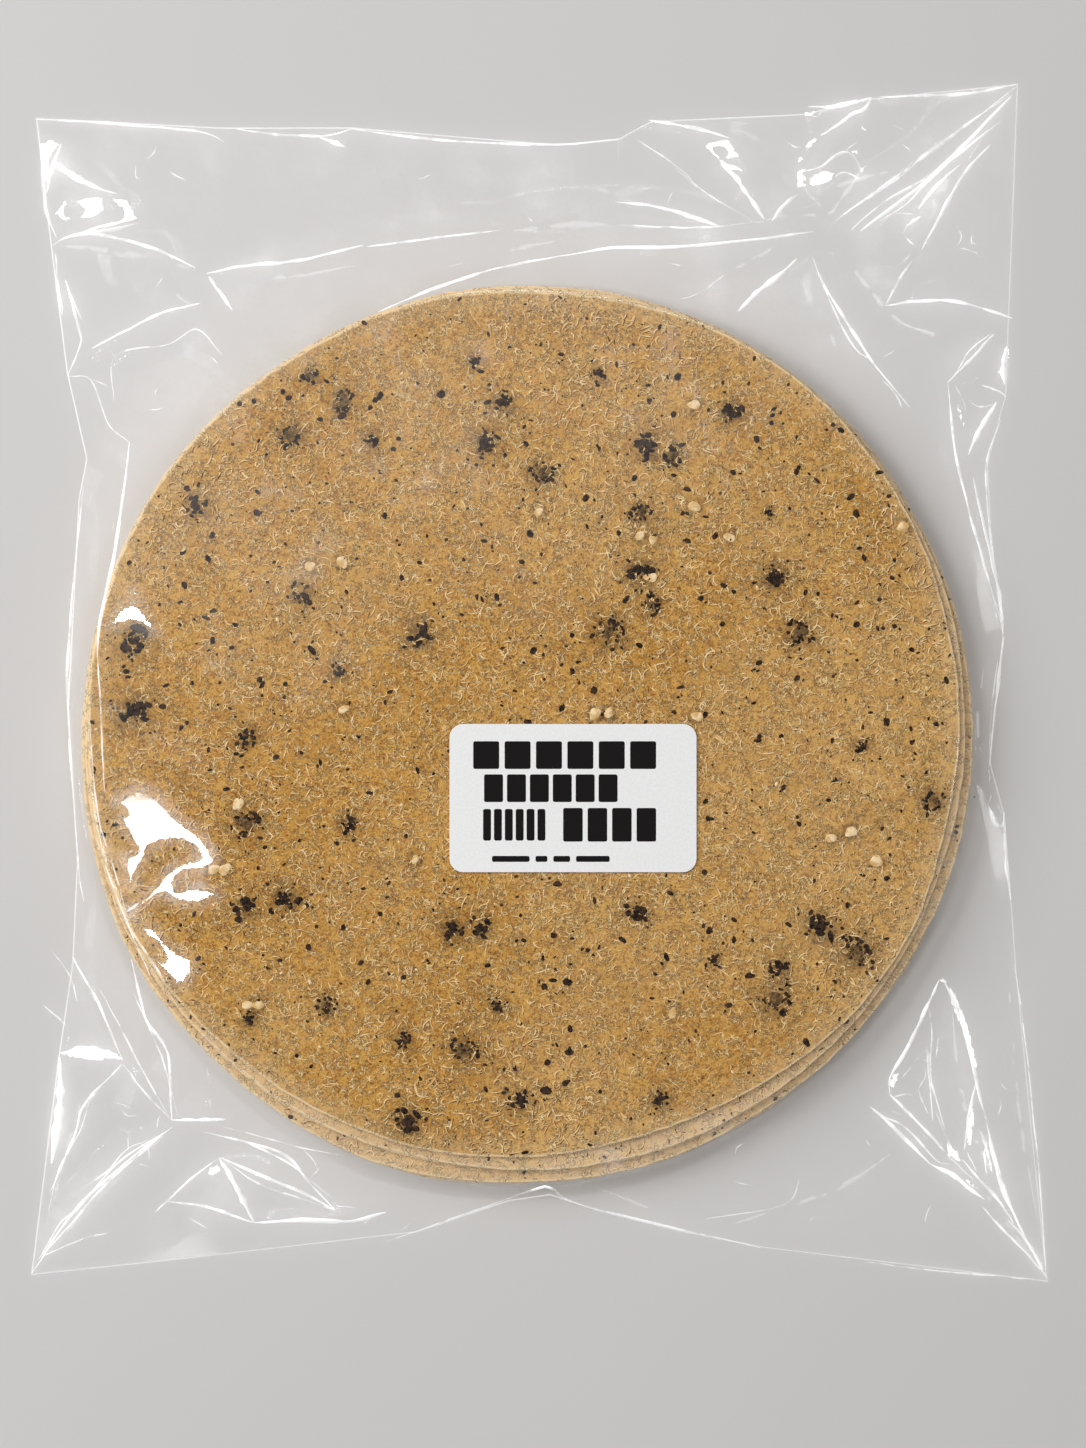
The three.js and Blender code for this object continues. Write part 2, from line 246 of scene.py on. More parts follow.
MARGIN_FACETS = (
    ("left", (-102.5, 110.5), (-100, 111.5), (-98, 110), (-100, 108), (-100.5, 105.5), (-99, 106),
     (-100.5, 102), (-101, 100), (-102, 106)),
    ("left", (-99.5, 105.5), (-98.5, 107), (-96, 105), (-90, 101.5), (-86, 99.5), (-90, 100.5), (-95, 102.5)),
    ("left", (-87.5, 99), (-84.5, 99), (-82.5, 95.5), (-82, 94.5), (-86.5, 93.5), (-93, 92), (-98, 91),
     (-91, 93.5), (-85, 95), (-85, 96.5)),
    ("left", (-95, 98.5), (-93, 99.5), (-89.5, 99.5), (-89, 96.5), (-91.5, 95), (-94.5, 95), (-93, 97)),
    ("left", (-99.5, 96), (-97.5, 98.5), (-95.5, 99), (-97, 97.5), (-97.5, 96), (-95.5, 95), (-97, 94.5)),
    ("top", (33.5, 109.5), (35, 111), (38.5, 111.5), (39.5, 110), (41, 107.5), (40, 107), (38, 107),
     (38.5, 108), (38, 109.5), (35.5, 109.5), (36.5, 108), (38, 106.5), (41, 105.5), (42, 104.5),
     (39, 104.5), (37, 106), (34.5, 109)),
    ("top", (54, 116.5), (54.5, 117), (56, 117.5), (57, 117.5), (56, 116), (54.5, 115.5)),
    ("top", (55, 111), (57, 112), (57, 111), (55.5, 109.5), (54.5, 108.5), (54, 108.5)),
    ("top", (52.5, 107), (53.5, 108), (54, 107), (53, 106)),
    ("top", (52.5, 104.5), (53.5, 105.5), (55, 105), (54, 104), (55, 103), (54, 102.5), (55, 101.5),
     (52.5, 101)),
    ("top", (55, 103), (56.5, 104.5), (58.5, 105), (60.5, 104.5), (60.5, 104), (59.5, 102.5), (57.5, 101.5),
     (55.5, 101.5)),
    ("right", (63.5, 108.5), (64.5, 109.5), (65.5, 109), (65.5, 107.5), (64.5, 108)),
    ("right", (65.5, 105.5), (66.5, 106), (66.5, 104), (66, 104)),
    ("right", (65.5, 114), (66.5, 114), (67.5, 112.5), (66, 113)),
    ("right", (93.5, 64), (95, 64.5), (95.5, 60.5)),
    ("right", (96, 69.5), (96.5, 66.5), (95.5, 66)),
    ("left", (-98, -76), (-94, -74.5), (-89, -75), (-86.5, -75.5), (-85, -77.5), (-88.5, -76.5),
     (-89.5, -77.5), (-94.5, -77)),
    ("left", (-98, -79), (-97, -83.5), (-98.5, -89.5), (-99.5, -95.5), (-101, -106), (-99.5, -91.5),
     (-98.5, -84.5)),
    ("left", (-68.5, -100), (-66, -98), (-65, -99.5), (-66.5, -101)),
    ("left", (-67.5, -88.5), (-63.5, -89), (-66.5, -89.5)),
    ("right", (83, -62), (84.5, -62), (87.5, -70), (89.5, -78.5), (88.5, -79.5), (86.5, -72), (84, -66)),
    ("right", (89, -84), (89, -91), (88, -96), (87, -94), (87.5, -89)),
    ("right", (83, -93.5), (85.5, -95.5), (86.5, -98.5), (83.5, -97)),
    ("right", (85.5, -100), (88.5, -102), (91.5, -104.5), (88, -103)),
    ("right", (72, -79.5), (73.5, -79.5), (72.5, -83), (71, -82.5)),
    ("right", (91.5, -25.5), (92, -25), (93, -27.5), (92.5, -28.5)),
    ("right", (93, -24.5), (94, -25), (95, -28), (94.5, -27.5)),
    ("right", (85, 57), (86, 56.5), (87, 53), (86.5, 52)),
)

# A facet's mesh step, its dome (half its curvature), its ripple and the drop of its lip
FACET_STEP = 0.6
FACET_DOME = 0.0002
FACET_RIPPLE = 0.008
FACET_LIP = 0.05
PILE_FACET_FADE = 0.6
MARGIN_FACET_FADE = 0.15

# Sharp creases of the film: width and route, as seen from above
CREASES = (
    (0.7, (-103.0, 115.6), (-88.0, 114.7), (-69.8, 112.9), (-64.0, 110.4)),
    (0.7, (-62.0, 113.5), (-53.2, 112.3), (-43.7, 112.1), (-38.4, 113.5)),
    (0.8, (-38.4, 113.5), (-24.5, 111.5), (-9.3, 110.4), (5.0, 110.2), (16.5, 111.3)),
    (1.2, (-45.0, 111.7), (-39.9, 109.8)),
    (1.0, (-98.0, 110.4), (-99.9, 105.1), (-101.1, 100.4)),
    (1.1, (-99.0, 106.5), (-95.0, 103.5), (-91.0, 101.5), (-86.5, 100.0)),
    (0.9, (-82.0, 94.0), (-88.0, 92.5), (-95.0, 91.5), (-98.5, 90.5)),
    (0.8, (-102.3, 110.4), (-101.5, 100.4), (-101.1, 96.5), (-98.7, 90.6)),
    (0.8, (-100.1, 89.5), (-96.2, 91.4), (-90.1, 91.6), (-79.8, 89.1), (-70.4, 85.0)),
    (1.0, (-68.1, 83.8), (-61.4, 85.2), (-50.5, 86.1), (-44.0, 87.3), (-36.0, 89.3)),
    (0.7, (-35.1, 88.9), (-24.5, 90.2), (-8.1, 92.4)),
    (1.1, (-67.7, 83.2), (-65.1, 79.5), (-62.8, 76.2)),
    (0.9, (-91.7, 68.4), (-83.9, 72.3), (-76.7, 75.8), (-69.4, 77.7)),
    (0.7, (-99.1, 88.3), (-98.5, 80.5), (-97.8, 75.4)),
    (0.8, (-97.0, 82.6), (-94.2, 72.3), (-93.9, 69.3), (-96.6, 62.7)),
    (0.4, (-87.0, 57.6), (-86.8, 66.8), (-75.7, 69.3), (-70.0, 72.3), (-64.6, 66.8)),
    (0.5, (-96.6, 62.7), (-91.7, 61.9), (-88.0, 52.9), (-83.3, 48.8)),
    (0.9, (-83.5, 49.0), (-85.5, 30.0), (-87.5, 19.0), (-89.0, 12.0), (-89.5, 5.0)),
    (0.5, (-89.5, 7.0), (-89.0, -2.0), (-88.5, -11.0), (-88.0, -22.5)),
    (0.4, (-91.0, -6.0), (-90.5, -16.0), (-89.0, -28.0), (-86.0, -38.0), (-83.5, -46.5)),
    (0.6, (-83.5, -46.5), (-81.0, -44.5)),
    (0.5, (-83.5, -48.5), (-81.5, -52.0), (-78.0, -57.0), (-75.0, -62.0)),
    (0.4, (-89.7, -31.5), (-86.0, -42.0), (-82.0, -52.0), (-77.5, -62.5)),
    (0.7, (-93.3, 40.0), (-96.0, 11.9), (-96.4, -5.5), (-94.2, -36.1), (-92.9, -44.5)),
    (0.8, (-82.7, -56.1), (-80.0, -68.2), (-75.7, -75.4), (-75.1, -89.3)),
    (0.7, (-95.4, -56.1), (-90.1, -65.0), (-85.3, -76.6)),
    (2.6, (-98.0, -75.8), (-92.1, -75.2), (-85.1, -76.8)),
    (2.4, (-98.2, -76.6), (-98.2, -86.3), (-99.9, -98.4)),
    (0.9, (-85.3, -77.9), (-93.1, -86.3), (-95.0, -92.4), (-100.3, -104.3)),
    (0.6, (-85.1, -77.9), (-79.8, -84.4), (-75.1, -89.3)),
    (0.7, (-75.1, -90.8), (-84.9, -98.4), (-95.6, -108.6), (-104.0, -121.1)),
    (0.6, (-76.7, -92.2), (-88.0, -101.8), (-96.2, -111.1), (-101.7, -117.0)),
    (0.9, (-75.1, -89.3), (-68.5, -88.9), (-63.8, -88.9)),
    (1.6, (-65.5, -97.1), (-62.4, -101.8), (-58.3, -110.2)),
    (0.9, (-65.5, -96.9), (-49.1, -103.5), (-41.7, -107.6)),
    (0.7, (-65.1, -92.4), (-52.4, -95.9), (-47.0, -101.8), (-41.7, -107.4)),
    (0.8, (-76.3, -106.1), (-67.5, -107.4), (-58.3, -110.4)),
    (1.2, (-58.3, -110.4), (-49.1, -109.6), (-38.8, -109.8), (-31.2, -108.0)),
    (0.6, (-65.5, -97.1), (-71.6, -101.8), (-78.8, -108.6)),
    (0.6, (-31.9, -114.5), (-10.8, -106.8), (-0.9, -102.9), (2.6, -102.7), (9.5, -106.8), (45.2, -115.6)),
    (0.9, (82.0, -60.0), (85.5, -67.5), (88.0, -76.0), (89.0, -80.5), (90.0, -85.0), (91.5, -90.0)),
    (1.1, (91.5, -90.0), (92.5, -95.5), (94.0, -101.5), (96.0, -106.5), (99.0, -113.0)),
    (0.8, (99.0, -113.0), (101.5, -117.0), (104.0, -122.0)),
    (1.0, (81.4, -60.4), (74.9, -74.2), (71.6, -80.3), (71.6, -83.8)),
    (0.9, (71.5, -84.0), (76.0, -88.5), (80.0, -92.5), (83.0, -96.0)),
    (0.7, (79.0, -74.2), (80.0, -83.4), (80.4, -89.5)),
    (0.9, (67.5, -86.5), (74.0, -92.5), (80.0, -98.5)),
    (1.2, (80.0, -98.5), (85.0, -101.0), (88.0, -103.5), (91.0, -105.5)),
    (0.7, (90.5, -107.0), (93.5, -110.5), (99.0, -116.0), (104.0, -122.0)),
    (0.8, (86.5, -97.5), (90.0, -101.5), (94.0, -106.0), (97.0, -110.5)),
    (0.5, (87.5, -96.0), (88.5, -98.0), (89.5, -100.0)),
    (0.4, (53.4, -101.2), (49.9, -106.8), (33.7, -109.6)),
    (0.8, (93.1, 71.5), (88.2, 66.2), (83.5, 61.5)),
    (0.8, (83.5, 61.5), (85.3, 44.3), (90.5, 25.0), (95.0, 10.0)),
    (1.1, (88.5, 42.0), (91.0, 31.0), (94.0, 18.5), (95.0, 10.0)),
    (0.6, (94.5, 54.0), (91.5, 45.0), (92.0, 32.0), (94.5, 15.5)),
    (1.2, (93.5, 57.5), (90.0, 51.5), (87.5, 46.5)),
    (0.4, (85.0, 61.0), (87.0, 57.0), (87.0, 54.5)),
    (0.4, (87.5, 58.0), (90.0, 56.5), (93.0, 57.0)),
    (0.9, (95.0, -26.5), (95.5, -36.5), (96.5, -44.5)),
    (1.4, (95.8, 69.1), (95.0, 65.2), (95.2, 61.1)),
    (1.0, (95.0, 9.5), (93.5, -2.5), (92.5, -10.5), (92.0, -17.0)),
    (0.5, (93.5, 4.5), (92.0, -7.5), (92.0, -16.0)),
    (0.8, (91.5, -25.0), (92.7, -28.5), (94.6, -29.3), (95.2, -26.4)),
    (0.9, (22.4, 115.2), (30.8, 113.7), (38.8, 111.5)),
    (1.2, (37.0, 106.0), (39.5, 104.0), (42.0, 100.5), (44.5, 97.0), (46.0, 95.0)),
    (0.5, (20.2, 111.1), (28.8, 105.1), (33.5, 100.6), (44.2, 94.3)),
    (0.8, (15.5, 98.4), (24.7, 97.1), (36.8, 93.2)),
    (0.5, (15.9, 93.6), (31.7, 93.0), (45.8, 94.3)),
    (1.0, (4.2, 86.7), (14.7, 88.5), (25.5, 88.7), (41.1, 90.2), (56.2, 92.4)),
    (0.8, (-32.7, 75.0), (-22.2, 79.5), (-9.3, 83.8), (5.0, 86.9)),
    (0.9, (47.5, 94.5), (49.0, 96.5), (51.0, 98.5), (53.0, 100.0)),
    (1.1, (55.0, 118.0), (59.5, 118.0), (64.5, 119.0), (68.0, 120.0)),
    (1.0, (68.0, 120.0), (66.5, 117.5), (64.0, 116.5), (61.5, 114.5), (57.5, 112.0)),
    (0.6, (54.0, 104.5), (57.5, 105.5), (59.5, 107.0), (62.0, 108.5), (64.0, 108.0), (65.5, 106.0),
     (66.0, 104.0)),
    (0.5, (60.5, 103.5), (62.0, 104.5), (64.0, 104.0), (65.5, 103.0)),
    (0.8, (69.6, 120.1), (86.2, 120.7), (98.0, 122.7)),
    (0.7, (98.0, 122.3), (78.8, 107.6), (60.5, 94.5)),
    (1.0, (97.0, 120.5), (80.0, 103.5), (65.7, 92.6)),
    (1.0, (92.3, 110.2), (86.2, 103.1), (78.2, 88.7)),
    (0.7, (76.3, 86.3), (73.9, 83.0), (70.8, 77.2)),
    (0.9, (70.8, 77.2), (78.0, 78.1), (85.1, 77.9), (96.8, 74.8)),
    (1.3, (40.3, 75.4), (44.2, 79.5), (49.3, 83.6), (52.6, 86.7)),
    (0.8, (55.8, 87.1), (58.5, 80.5), (62.8, 73.8), (68.1, 65.0), (75.5, 56.3)),
    (0.5, (97.0, 121.0), (80.0, 109.0), (74.0, 103.5), (61.5, 95.5)),
    (0.6, (94.5, 115.0), (80.0, 104.0), (70.0, 98.0), (63.5, 92.5)),
    (0.5, (90.0, 111.5), (80.0, 103.0), (75.0, 98.0), (69.5, 94.5)),
    (0.9, (86.0, 106.0), (81.0, 101.5), (77.5, 97.0)),
    (0.9, (78.0, 95.5), (75.0, 93.5)),
    (0.6, (75.0, 91.0), (76.5, 89.5)),
    (0.4, (86.0, 89.0), (89.5, 88.0), (90.0, 86.5)),
    (0.5, (56.0, 85.5), (63.5, 69.5), (68.0, 65.5)),
    (0.5, (70.0, 61.5), (72.5, 59.0), (74.0, 56.0)),
    (0.8, (20.5, 98.0), (31.0, 95.5), (36.5, 93.5)),
    (0.4, (27.0, 106.0), (31.0, 102.5), (33.5, 100.5)),
    (0.5, (92.5, 71.5), (88.0, 68.0), (85.0, 63.0)),
    (0.5, (90.5, 61.0), (94.5, 59.5), (95.5, 58.5)),
    (0.4, (38.0, 83.5), (33.0, 79.5), (28.0, 77.5)),
    (0.5, (79.0, -65.0), (80.0, -71.0), (80.0, -77.5), (80.5, -82.5), (83.0, -91.5)),
    (0.4, (81.5, -72.5), (81.0, -76.5)),
    (0.4, (76.5, -77.5), (79.0, -75.0), (80.0, -77.5)),
    (0.5, (72.5, -84.5), (75.5, -84.0), (76.5, -85.0)),
    (0.7, (90.0, -91.5), (91.5, -95.5), (92.5, -100.0)),
    (0.5, (67.5, -86.5), (71.0, -89.0), (75.0, -91.0), (81.0, -97.5), (84.0, -98.5)),
    (0.5, (92.0, -91.5), (93.5, -98.0), (95.5, -104.5), (98.0, -110.5), (103.5, -121.5)),
    (0.4, (95.0, -109.0), (99.5, -114.0), (104.0, -121.5)),
    (0.4, (67.0, -118.5), (82.0, -120.5), (104.0, -122.5)),
    (0.4, (96.0, -52.5), (99.0, -69.0), (102.5, -102.0), (104.0, -121.5)),
    (0.5, (-90.0, -62.0), (-85.0, -71.0), (-82.0, -77.5), (-78.5, -83.5), (-75.5, -89.0)),
    (0.5, (-82.5, -63.0), (-79.0, -71.0), (-76.5, -77.5), (-75.5, -81.5), (-74.0, -88.0)),
    (0.6, (-76.0, -91.5), (-86.0, -98.0), (-94.0, -107.0), (-98.0, -110.5), (-102.5, -118.0)),
    (0.4, (-80.0, -93.5), (-84.5, -95.5), (-88.5, -100.0), (-96.0, -105.0)),
    (0.4, (-89.0, -82.0), (-92.0, -85.5), (-94.0, -91.5), (-98.5, -100.0), (-101.0, -110.0)),
    (0.5, (-102.0, -117.5), (-94.0, -114.0), (-88.0, -112.5)),
    (0.5, (-65.0, -97.0), (-57.5, -102.0), (-49.0, -105.0), (-42.0, -107.5)),
    (0.5, (-68.5, -91.5), (-59.5, -94.0), (-51.0, -98.0), (-45.5, -102.5)),
    (0.4, (-64.5, -90.5), (-49.0, -94.5), (-40.0, -96.0)),
    (0.5, (-101.5, -66.0), (-98.0, -69.0), (-96.5, -71.0)),
    (0.5, (-100.0, -54.5), (-96.0, -60.0), (-94.5, -65.0)),
    (0.5, (-97.5, 83.5), (-96.0, 79.5), (-93.0, 73.0)),
    (0.5, (-99.0, 83.5), (-98.0, 78.5), (-97.5, 75.0)),
    (0.4, (76.5, -76.0), (79.5, -77.5)),
    (0.5, (78.5, -78.0), (79.0, -80.5), (77.5, -83.5), (79.5, -88.0)),
    (0.5, (90.0, -91.5), (91.5, -94.0), (91.0, -96.5), (91.5, -101.0)),
    (0.7, (89.0, -81.5), (88.0, -87.5), (87.0, -95.5)),
    (1.0, (81.5, -60.5), (83.0, -61.0)),
    (0.4, (81.0, -87.5), (83.0, -92.5), (86.0, -98.0)),
    (0.4, (83.5, -96.5), (87.5, -100.5), (91.5, -104.0)),
)

# Faint soft folds between them, drawn as faint white beads that are partly a painted sheen: width and route
SOFT_FOLDS = (
    (1.6, (68, 108), (64, 102), (60, 96.5)),
    (2.0, (85.5, 106.5), (79, 95), (75.5, 90)),
    (1.4, (49.5, 90), (41, 85), (33, 82)),
    (2.0, (54.5, 88), (58, 75), (62, 65.5)),
    (1.4, (61, 89), (72.5, 75), (82, 71)),
    (1.2, (74, 73.5), (83.5, 70.5), (90.5, 71)),
    (1.4, (57.5, 100.5), (65, 103), (71.5, 104.5)),
    (1.2, (46, 94.5), (51, 96), (57.5, 98.5)),
    (1.8, (-6.5, 92), (9, 93.5), (23.5, 93)),
    (1.4, (-18.5, 84.5), (-1.5, 89), (14, 91.5)),
    (1.4, (19.5, 111.5), (26.5, 107), (34.5, 102), (40.5, 98.5)),
    (2.0, (-97.5, 89.5), (-83.5, 87.5), (-70, 84.5)),
    (1.6, (-67.5, 84), (-52, 83), (-37.5, 85)),
    (1.4, (-71.5, 77.5), (-74.5, 80), (-72, 82.5)),
    (2.2, (-93, -84), (-96.5, -95), (-100, -108)),
    (2.0, (-76.5, -92.5), (-88.5, -102.5), (-99, -115)),
    (1.2, (-67.5, -78), (-67, -87)),
    (1.8, (-63, -93), (-52, -97), (-42.5, -105)),
    (1.6, (84, -66), (86.5, -85), (94, -104)),
    (1.8, (78, -92), (90, -103), (101, -118)),
    (1.4, (96, -60), (98, -85), (102, -110)),
    (1.6, (40, -110.5), (60, -104), (72, -96.5)),
    (1.4, (88, 40), (91, 25), (93.5, 12)),
    (1.6, (90.5, 4), (89, -8), (90.5, -22)),
    (1.4, (54, 100.5), (57.5, 98), (60, 95.5)),
    (1.4, (50, 95.5), (58, 96), (63.5, 97.5)),
)

# Cracked peppercorns of the top papad: place and width over all
PEPPER_CLUMPS = (
    (-33.9, 49.1, 3.6), (-13.0, 65.3, 3.2), (-7.2, 56.6, 4.5), (11.9, 62.6, 2.8), (-11.0, 48.7, 5.3),
    (38.8, 54.7, 5.3), (22.0, 47.7, 6.1), (48.1, 21.3, 6.1), (-69.5, 35.9, 5.3), (-47.9, 17.3, 4.5),
    (-40.2, 2.1, 3.6), (-82.1, -6.0, 6.9), (-59.4, -11.2, 4.5), (-38.5, -28.9, 4.5), (-51.5, -43.8, 6.1),
    (-59.4, -45.7, 5.7), (-17.7, -50.1, 5.7), (-12.0, -49.3, 5.3), (19.7, -46.3, 5.3), (57.0, -49.7, 6.5),
    (48.7, -57.8, 4.9), (65.3, -12.7, 2.8), (-26.6, -88.8, 6.9), (-8.4, -65.7, 3.6), (-81.9, 8.6, 6.9),
    (-24.0, 9.8, 6.1), (20.4, 22.4, 6.1), (46.3, 34.5, 2.4), (35.3, -56.0, 3.2), (-4.3, -84.9, 4.9),
    (24.4, -84.5, 4.0), (-58.8, -68.3, 3.6),
)
# Peppercorns cut through, which show as rings: place and width over all
PEPPER_RINGS = (
    (-39.6, 56.8, 5.3), (0.5, 42.4, 4.9), (26.8, 45.8, 4.5), (20.6, 34.3, 4.5), (52.7, 10.0, 6.1),
    (-59.6, -28.6, 6.5), (64.3, -54.4, 7.3), (47.9, -63.9, 6.9), (80.1, -23.8, 5.3), (-15.1, -74.4, 6.5),
    (13.9, 10.2, 6.9), (-50.5, 49.9, 5.3), (-46.4, 62.0, 3.6), (22.8, 15.7, 4.5), (-43.0, -65.3, 4.5),
    (-27.4, -72.4, 3.6),
)
# Fragments of a cracked peppercorn: number at least and for each millimetre of its width, and their
# smallest and largest sizes, which for a core are shares of that width
FRAGMENTS = {
    "core": (4, 1.6, 0.06, 0.13),
    "ring": (8, 1.0, 0.25, 0.5),
    "chip": (4, 1.8, 0.15, 0.45),
    "dust": (6, 3.0, 0.07, 0.16),
}
# How far chips and dust stray from a peppercorn, as a share of its width
STRAY = {"chip": 0.36, "dust": 0.5}

# Coarse specks of pepper over the whole papad; those that fall on the lower left quarter are dropped
COARSE_SPECKS = 125
COARSE_SPECK_SIZES = (0.42, 0.85)
SPECK_SIZES = (0.1, 0.7)

# Halo of a peppercorn in the dough as a share of its width, and the dark ring round a kernel
HALO_SHARE = 0.6
KERNEL_RING = 1.4
KERNEL_RING_WIDTH = 0.5

# Pale fibres and brown bran of the top papad: shortest and longest, narrowest and widest
FIBRE_LENGTHS = (0.8, 2.8)
FIBRE_WIDTHS = (0.16, 0.32)
BRAN_LENGTHS = (0.35, 1.6)
BRAN_WIDTHS = (0.14, 0.3)

# Rows of printed blocks on the label: left end, middle height, length, block height, blocks and gap
PRINT_ROWS = (
    (-20.2, 8.7, 37.0, 5.6, 6, 1.1),
    (-18.0, 2.0, 27.0, 5.6, 6, 0.8),
    (-18.2, -5.4, 12.6, 6.4, 6, 0.6),
    (-2.0, -5.4, 18.8, 6.8, 4, 1.0),
    (-16.4, -12.3, 7.6, 1.2, 1, 0.0),
    (-7.6, -12.3, 2.4, 1.2, 1, 0.0),
    (-4.0, -12.3, 3.4, 1.2, 1, 0.0),
    (0.6, -12.3, 6.8, 1.2, 1, 0.0),
)

# Cream kernels in the top papad
KERNELS = (
    (-46.4, 23.6), (-39.8, 24.2), (20.4, 29.8), (23.0, 29.0), (38.4, 29.4), (22.4, 21.3), (31.3, 56.2),
    (14.1, -6.0), (-39.6, -5.4), (-61.0, -24.6), (-63.6, -37.8), (-65.9, -37.8), (59.2, -31.5),
    (63.1, -30.3), (68.3, -36.3), (-57.0, -65.3), (-59.0, -65.3), (73.6, 31.5), (31.9, -6.8),
    (11.2, -6.4), (-0.1, 34.5), (-25.2, -35.9), (31.5, 35.5), (27.0, -66.9),
)


def srgb(red, green, blue):
    """Linear colour of an 8-bit display colour"""
    shares = np.array([red, green, blue]) / 255.0
    linear = np.where(shares <= 0.04045, shares / 12.92, ((shares + 0.055) / 1.055) ** 2.4)
    return tuple(float(v) for v in linear)


class PackSizes(bpy.types.PropertyGroup):
    """Sizes of the pack"""

    papad_thickness: FloatProperty(
        name="Papad thickness", description="Thickness of one papadum", default=0.46 * MM, unit="LENGTH"
    )
    papad_count: IntProperty(name="Papads", description="Number of papadums in the pile", default=16)
    fibre_count: IntProperty(name="Fibres", description="Pale husk fibres in the top papadum", default=9500)
    grain_count: IntProperty(name="Grains", description="Cream grains in the top papadum", default=1000)
    bran_count: IntProperty(name="Bran", description="Brown bran slivers in the top papadum", default=1500)
    speck_count: IntProperty(name="Specks", description="Pepper specks in the top papadum", default=1550)
    label_corner: FloatProperty(
        name="Label corner", description="Corner radius of the label", default=2.8 * MM, unit="LENGTH"
    )


def colour_setting(name, description, red, green, blue):
    """A colour setting whose default is an 8-bit display colour"""
    default = srgb(red, green, blue)
    return FloatVectorProperty(name=name, description=description, subtype="COLOR", default=default)


class PackColours(bpy.types.PropertyGroup):
    """Colours of the pack, as linear values"""

    dough: colour_setting("Dough", "Main tan of a papadum", 217, 168, 86)
    dough_dark: colour_setting("Dark dough", "Darker mottling", 150, 92, 38)
    ochre: colour_setting("Ochre", "Warm blotches", 180, 126, 46)
    husk: colour_setting("Husk", "Pale husk fibres", 255, 230, 178)
    husk_shade: colour_setting("Husk shade", "Darker ends of the fibres", 218, 176, 112)
    bran: colour_setting("Bran", "Brown bran slivers", 98, 52, 18)
    soaked: colour_setting("Soaked", "Dough soaked by pepper", 84, 60, 38)
    # The rim colour is the pale cut edge with a painted highlight along it; it also pales the lower ledges as
    # painted light
    rim: colour_setting("Rim", "Cut edge of a papadum", 250, 224, 180)
    pepper: colour_setting("Pepper", "Cracked black pepper", 20, 14, 10)
    pepper_light: colour_setting("Light pepper", "Greyish husk of the pepper", 78, 56, 40)
    kernel: colour_setting("Kernel", "Cream kernels", 255, 230, 186)
    paper: colour_setting("Paper", "Label paper", 252, 252, 252)
    print_black: colour_setting("Print", "Label print", 22, 20, 20)
    table: colour_setting("Table", "Plain pale floor", 217, 215, 214)


# Shaders


class Wire:
    """A shader socket that takes part in Python sums; each operator adds a Math node"""

    def __init__(self, finish, socket):
        self.finish = finish
        self.socket = socket

    def math(self, operation, *values):
        return self.finish.node("ShaderNodeMath", {"operation": operation}, dict(enumerate(values)))

    def __add__(self, other):
        return self.math("ADD", self, other)

    def __radd__(self, other):
        return self.math("ADD", other, self)

    def __sub__(self, other):
        return self.math("SUBTRACT", self, other)

    def __rsub__(self, other):
        return self.math("SUBTRACT", other, self)

    def __mul__(self, other):
        return self.math("MULTIPLY", self, other)

    def __rmul__(self, other):
        return self.math("MULTIPLY", other, self)

    def __truediv__(self, other):
        return self.math("DIVIDE", self, other)

    def __abs__(self):
        return self.math("ABSOLUTE", self)

    def clipped(self):
        """The value held between 0 and 1"""
        return self.finish.node("ShaderNodeClamp", {}, {"Value": self})

    def ramp(self, low, high):
        """0 below low and 1 above high, with a soft step between"""
        settings = {"interpolation_type": "SMOOTHSTEP"}
        return self.finish.node(
            "ShaderNodeMapRange", settings, {"Value": self, "From Min": low, "From Max": high}
        )


class Finish:
    """A material whose nodes are written as Python expressions"""

    def __init__(self, name):
        self.material = bpy.data.materials.new(name)
        self.material.use_nodes = True
        self.tree = self.material.node_tree
        self.tree.nodes.clear()

    def node(self, kind, settings=None, inputs=None, output=0):
        """Adds a node: its settings first, then the values or links of its sockets"""
        made = self.tree.nodes.new(kind)
        for name, value in (settings or {}).items():
            setattr(made, name, value)
        for name, value in (inputs or {}).items():
            if isinstance(value, Wire):
                self.tree.links.new(value.socket, made.inputs[name])
            else:
                made.inputs[name].default_value = value
        return Wire(self, made.outputs[output])

    def places(self):
        """Places on the piece in metres, in the part's frame"""
        return self.node("ShaderNodeTexCoord", output="Object")

    def noise(self, places, scale, detail=2.0, roughness=0.5):
        """Soft noise; scale is the number of blobs in a metre"""
        inputs = {"Vector": places, "Scale": scale, "Detail": detail, "Roughness": roughness}
        return self.node("ShaderNodeTexNoise", {"noise_dimensions": "3D"}, inputs)

    def blend(self, share, first, second):
        """Colour between two colours"""
        ends = {0: share}
        for index, colour in ((6, first), (7, second)):
            ends[index] = colour if isinstance(colour, Wire) else (*colour, 1.0)
        settings = {"data_type": "RGBA", "clamp_factor": True}
        return self.node("ShaderNodeMix", settings, ends, output=2)

    def attribute(self, name):
        """A value that the mesh carries at its points"""
        return self.node("ShaderNodeAttribute", {"attribute_name": name}, {}, output="Fac")

    def bump(self, height, distance, strength=1.0):
        """Surface relief from a height between 0 and 1"""
        return self.node(
            "ShaderNodeBump", {}, {"Height": height, "Distance": distance, "Strength": strength}
        )

    def end(self, shader):
        """Makes the shader the material's surface"""
        last = self.tree.nodes.new("ShaderNodeOutputMaterial")
        self.tree.links.new(shader.socket, last.inputs["Surface"])
        return self.material

    def solid(self, inputs):
        """Ends the material as a solid surface"""
        return self.end(self.node("ShaderNodeBsdfPrincipled", {}, inputs))

    def clear(self, cover, inputs):
        """Ends the material as clear film that a solid surface covers in part"""
        nothing = self.node("ShaderNodeBsdfTransparent")
        surface = self.node("ShaderNodeBsdfPrincipled", {}, inputs)
        return self.end(self.node("ShaderNodeMixShader", {}, {0: cover, 1: nothing, 2: surface}))


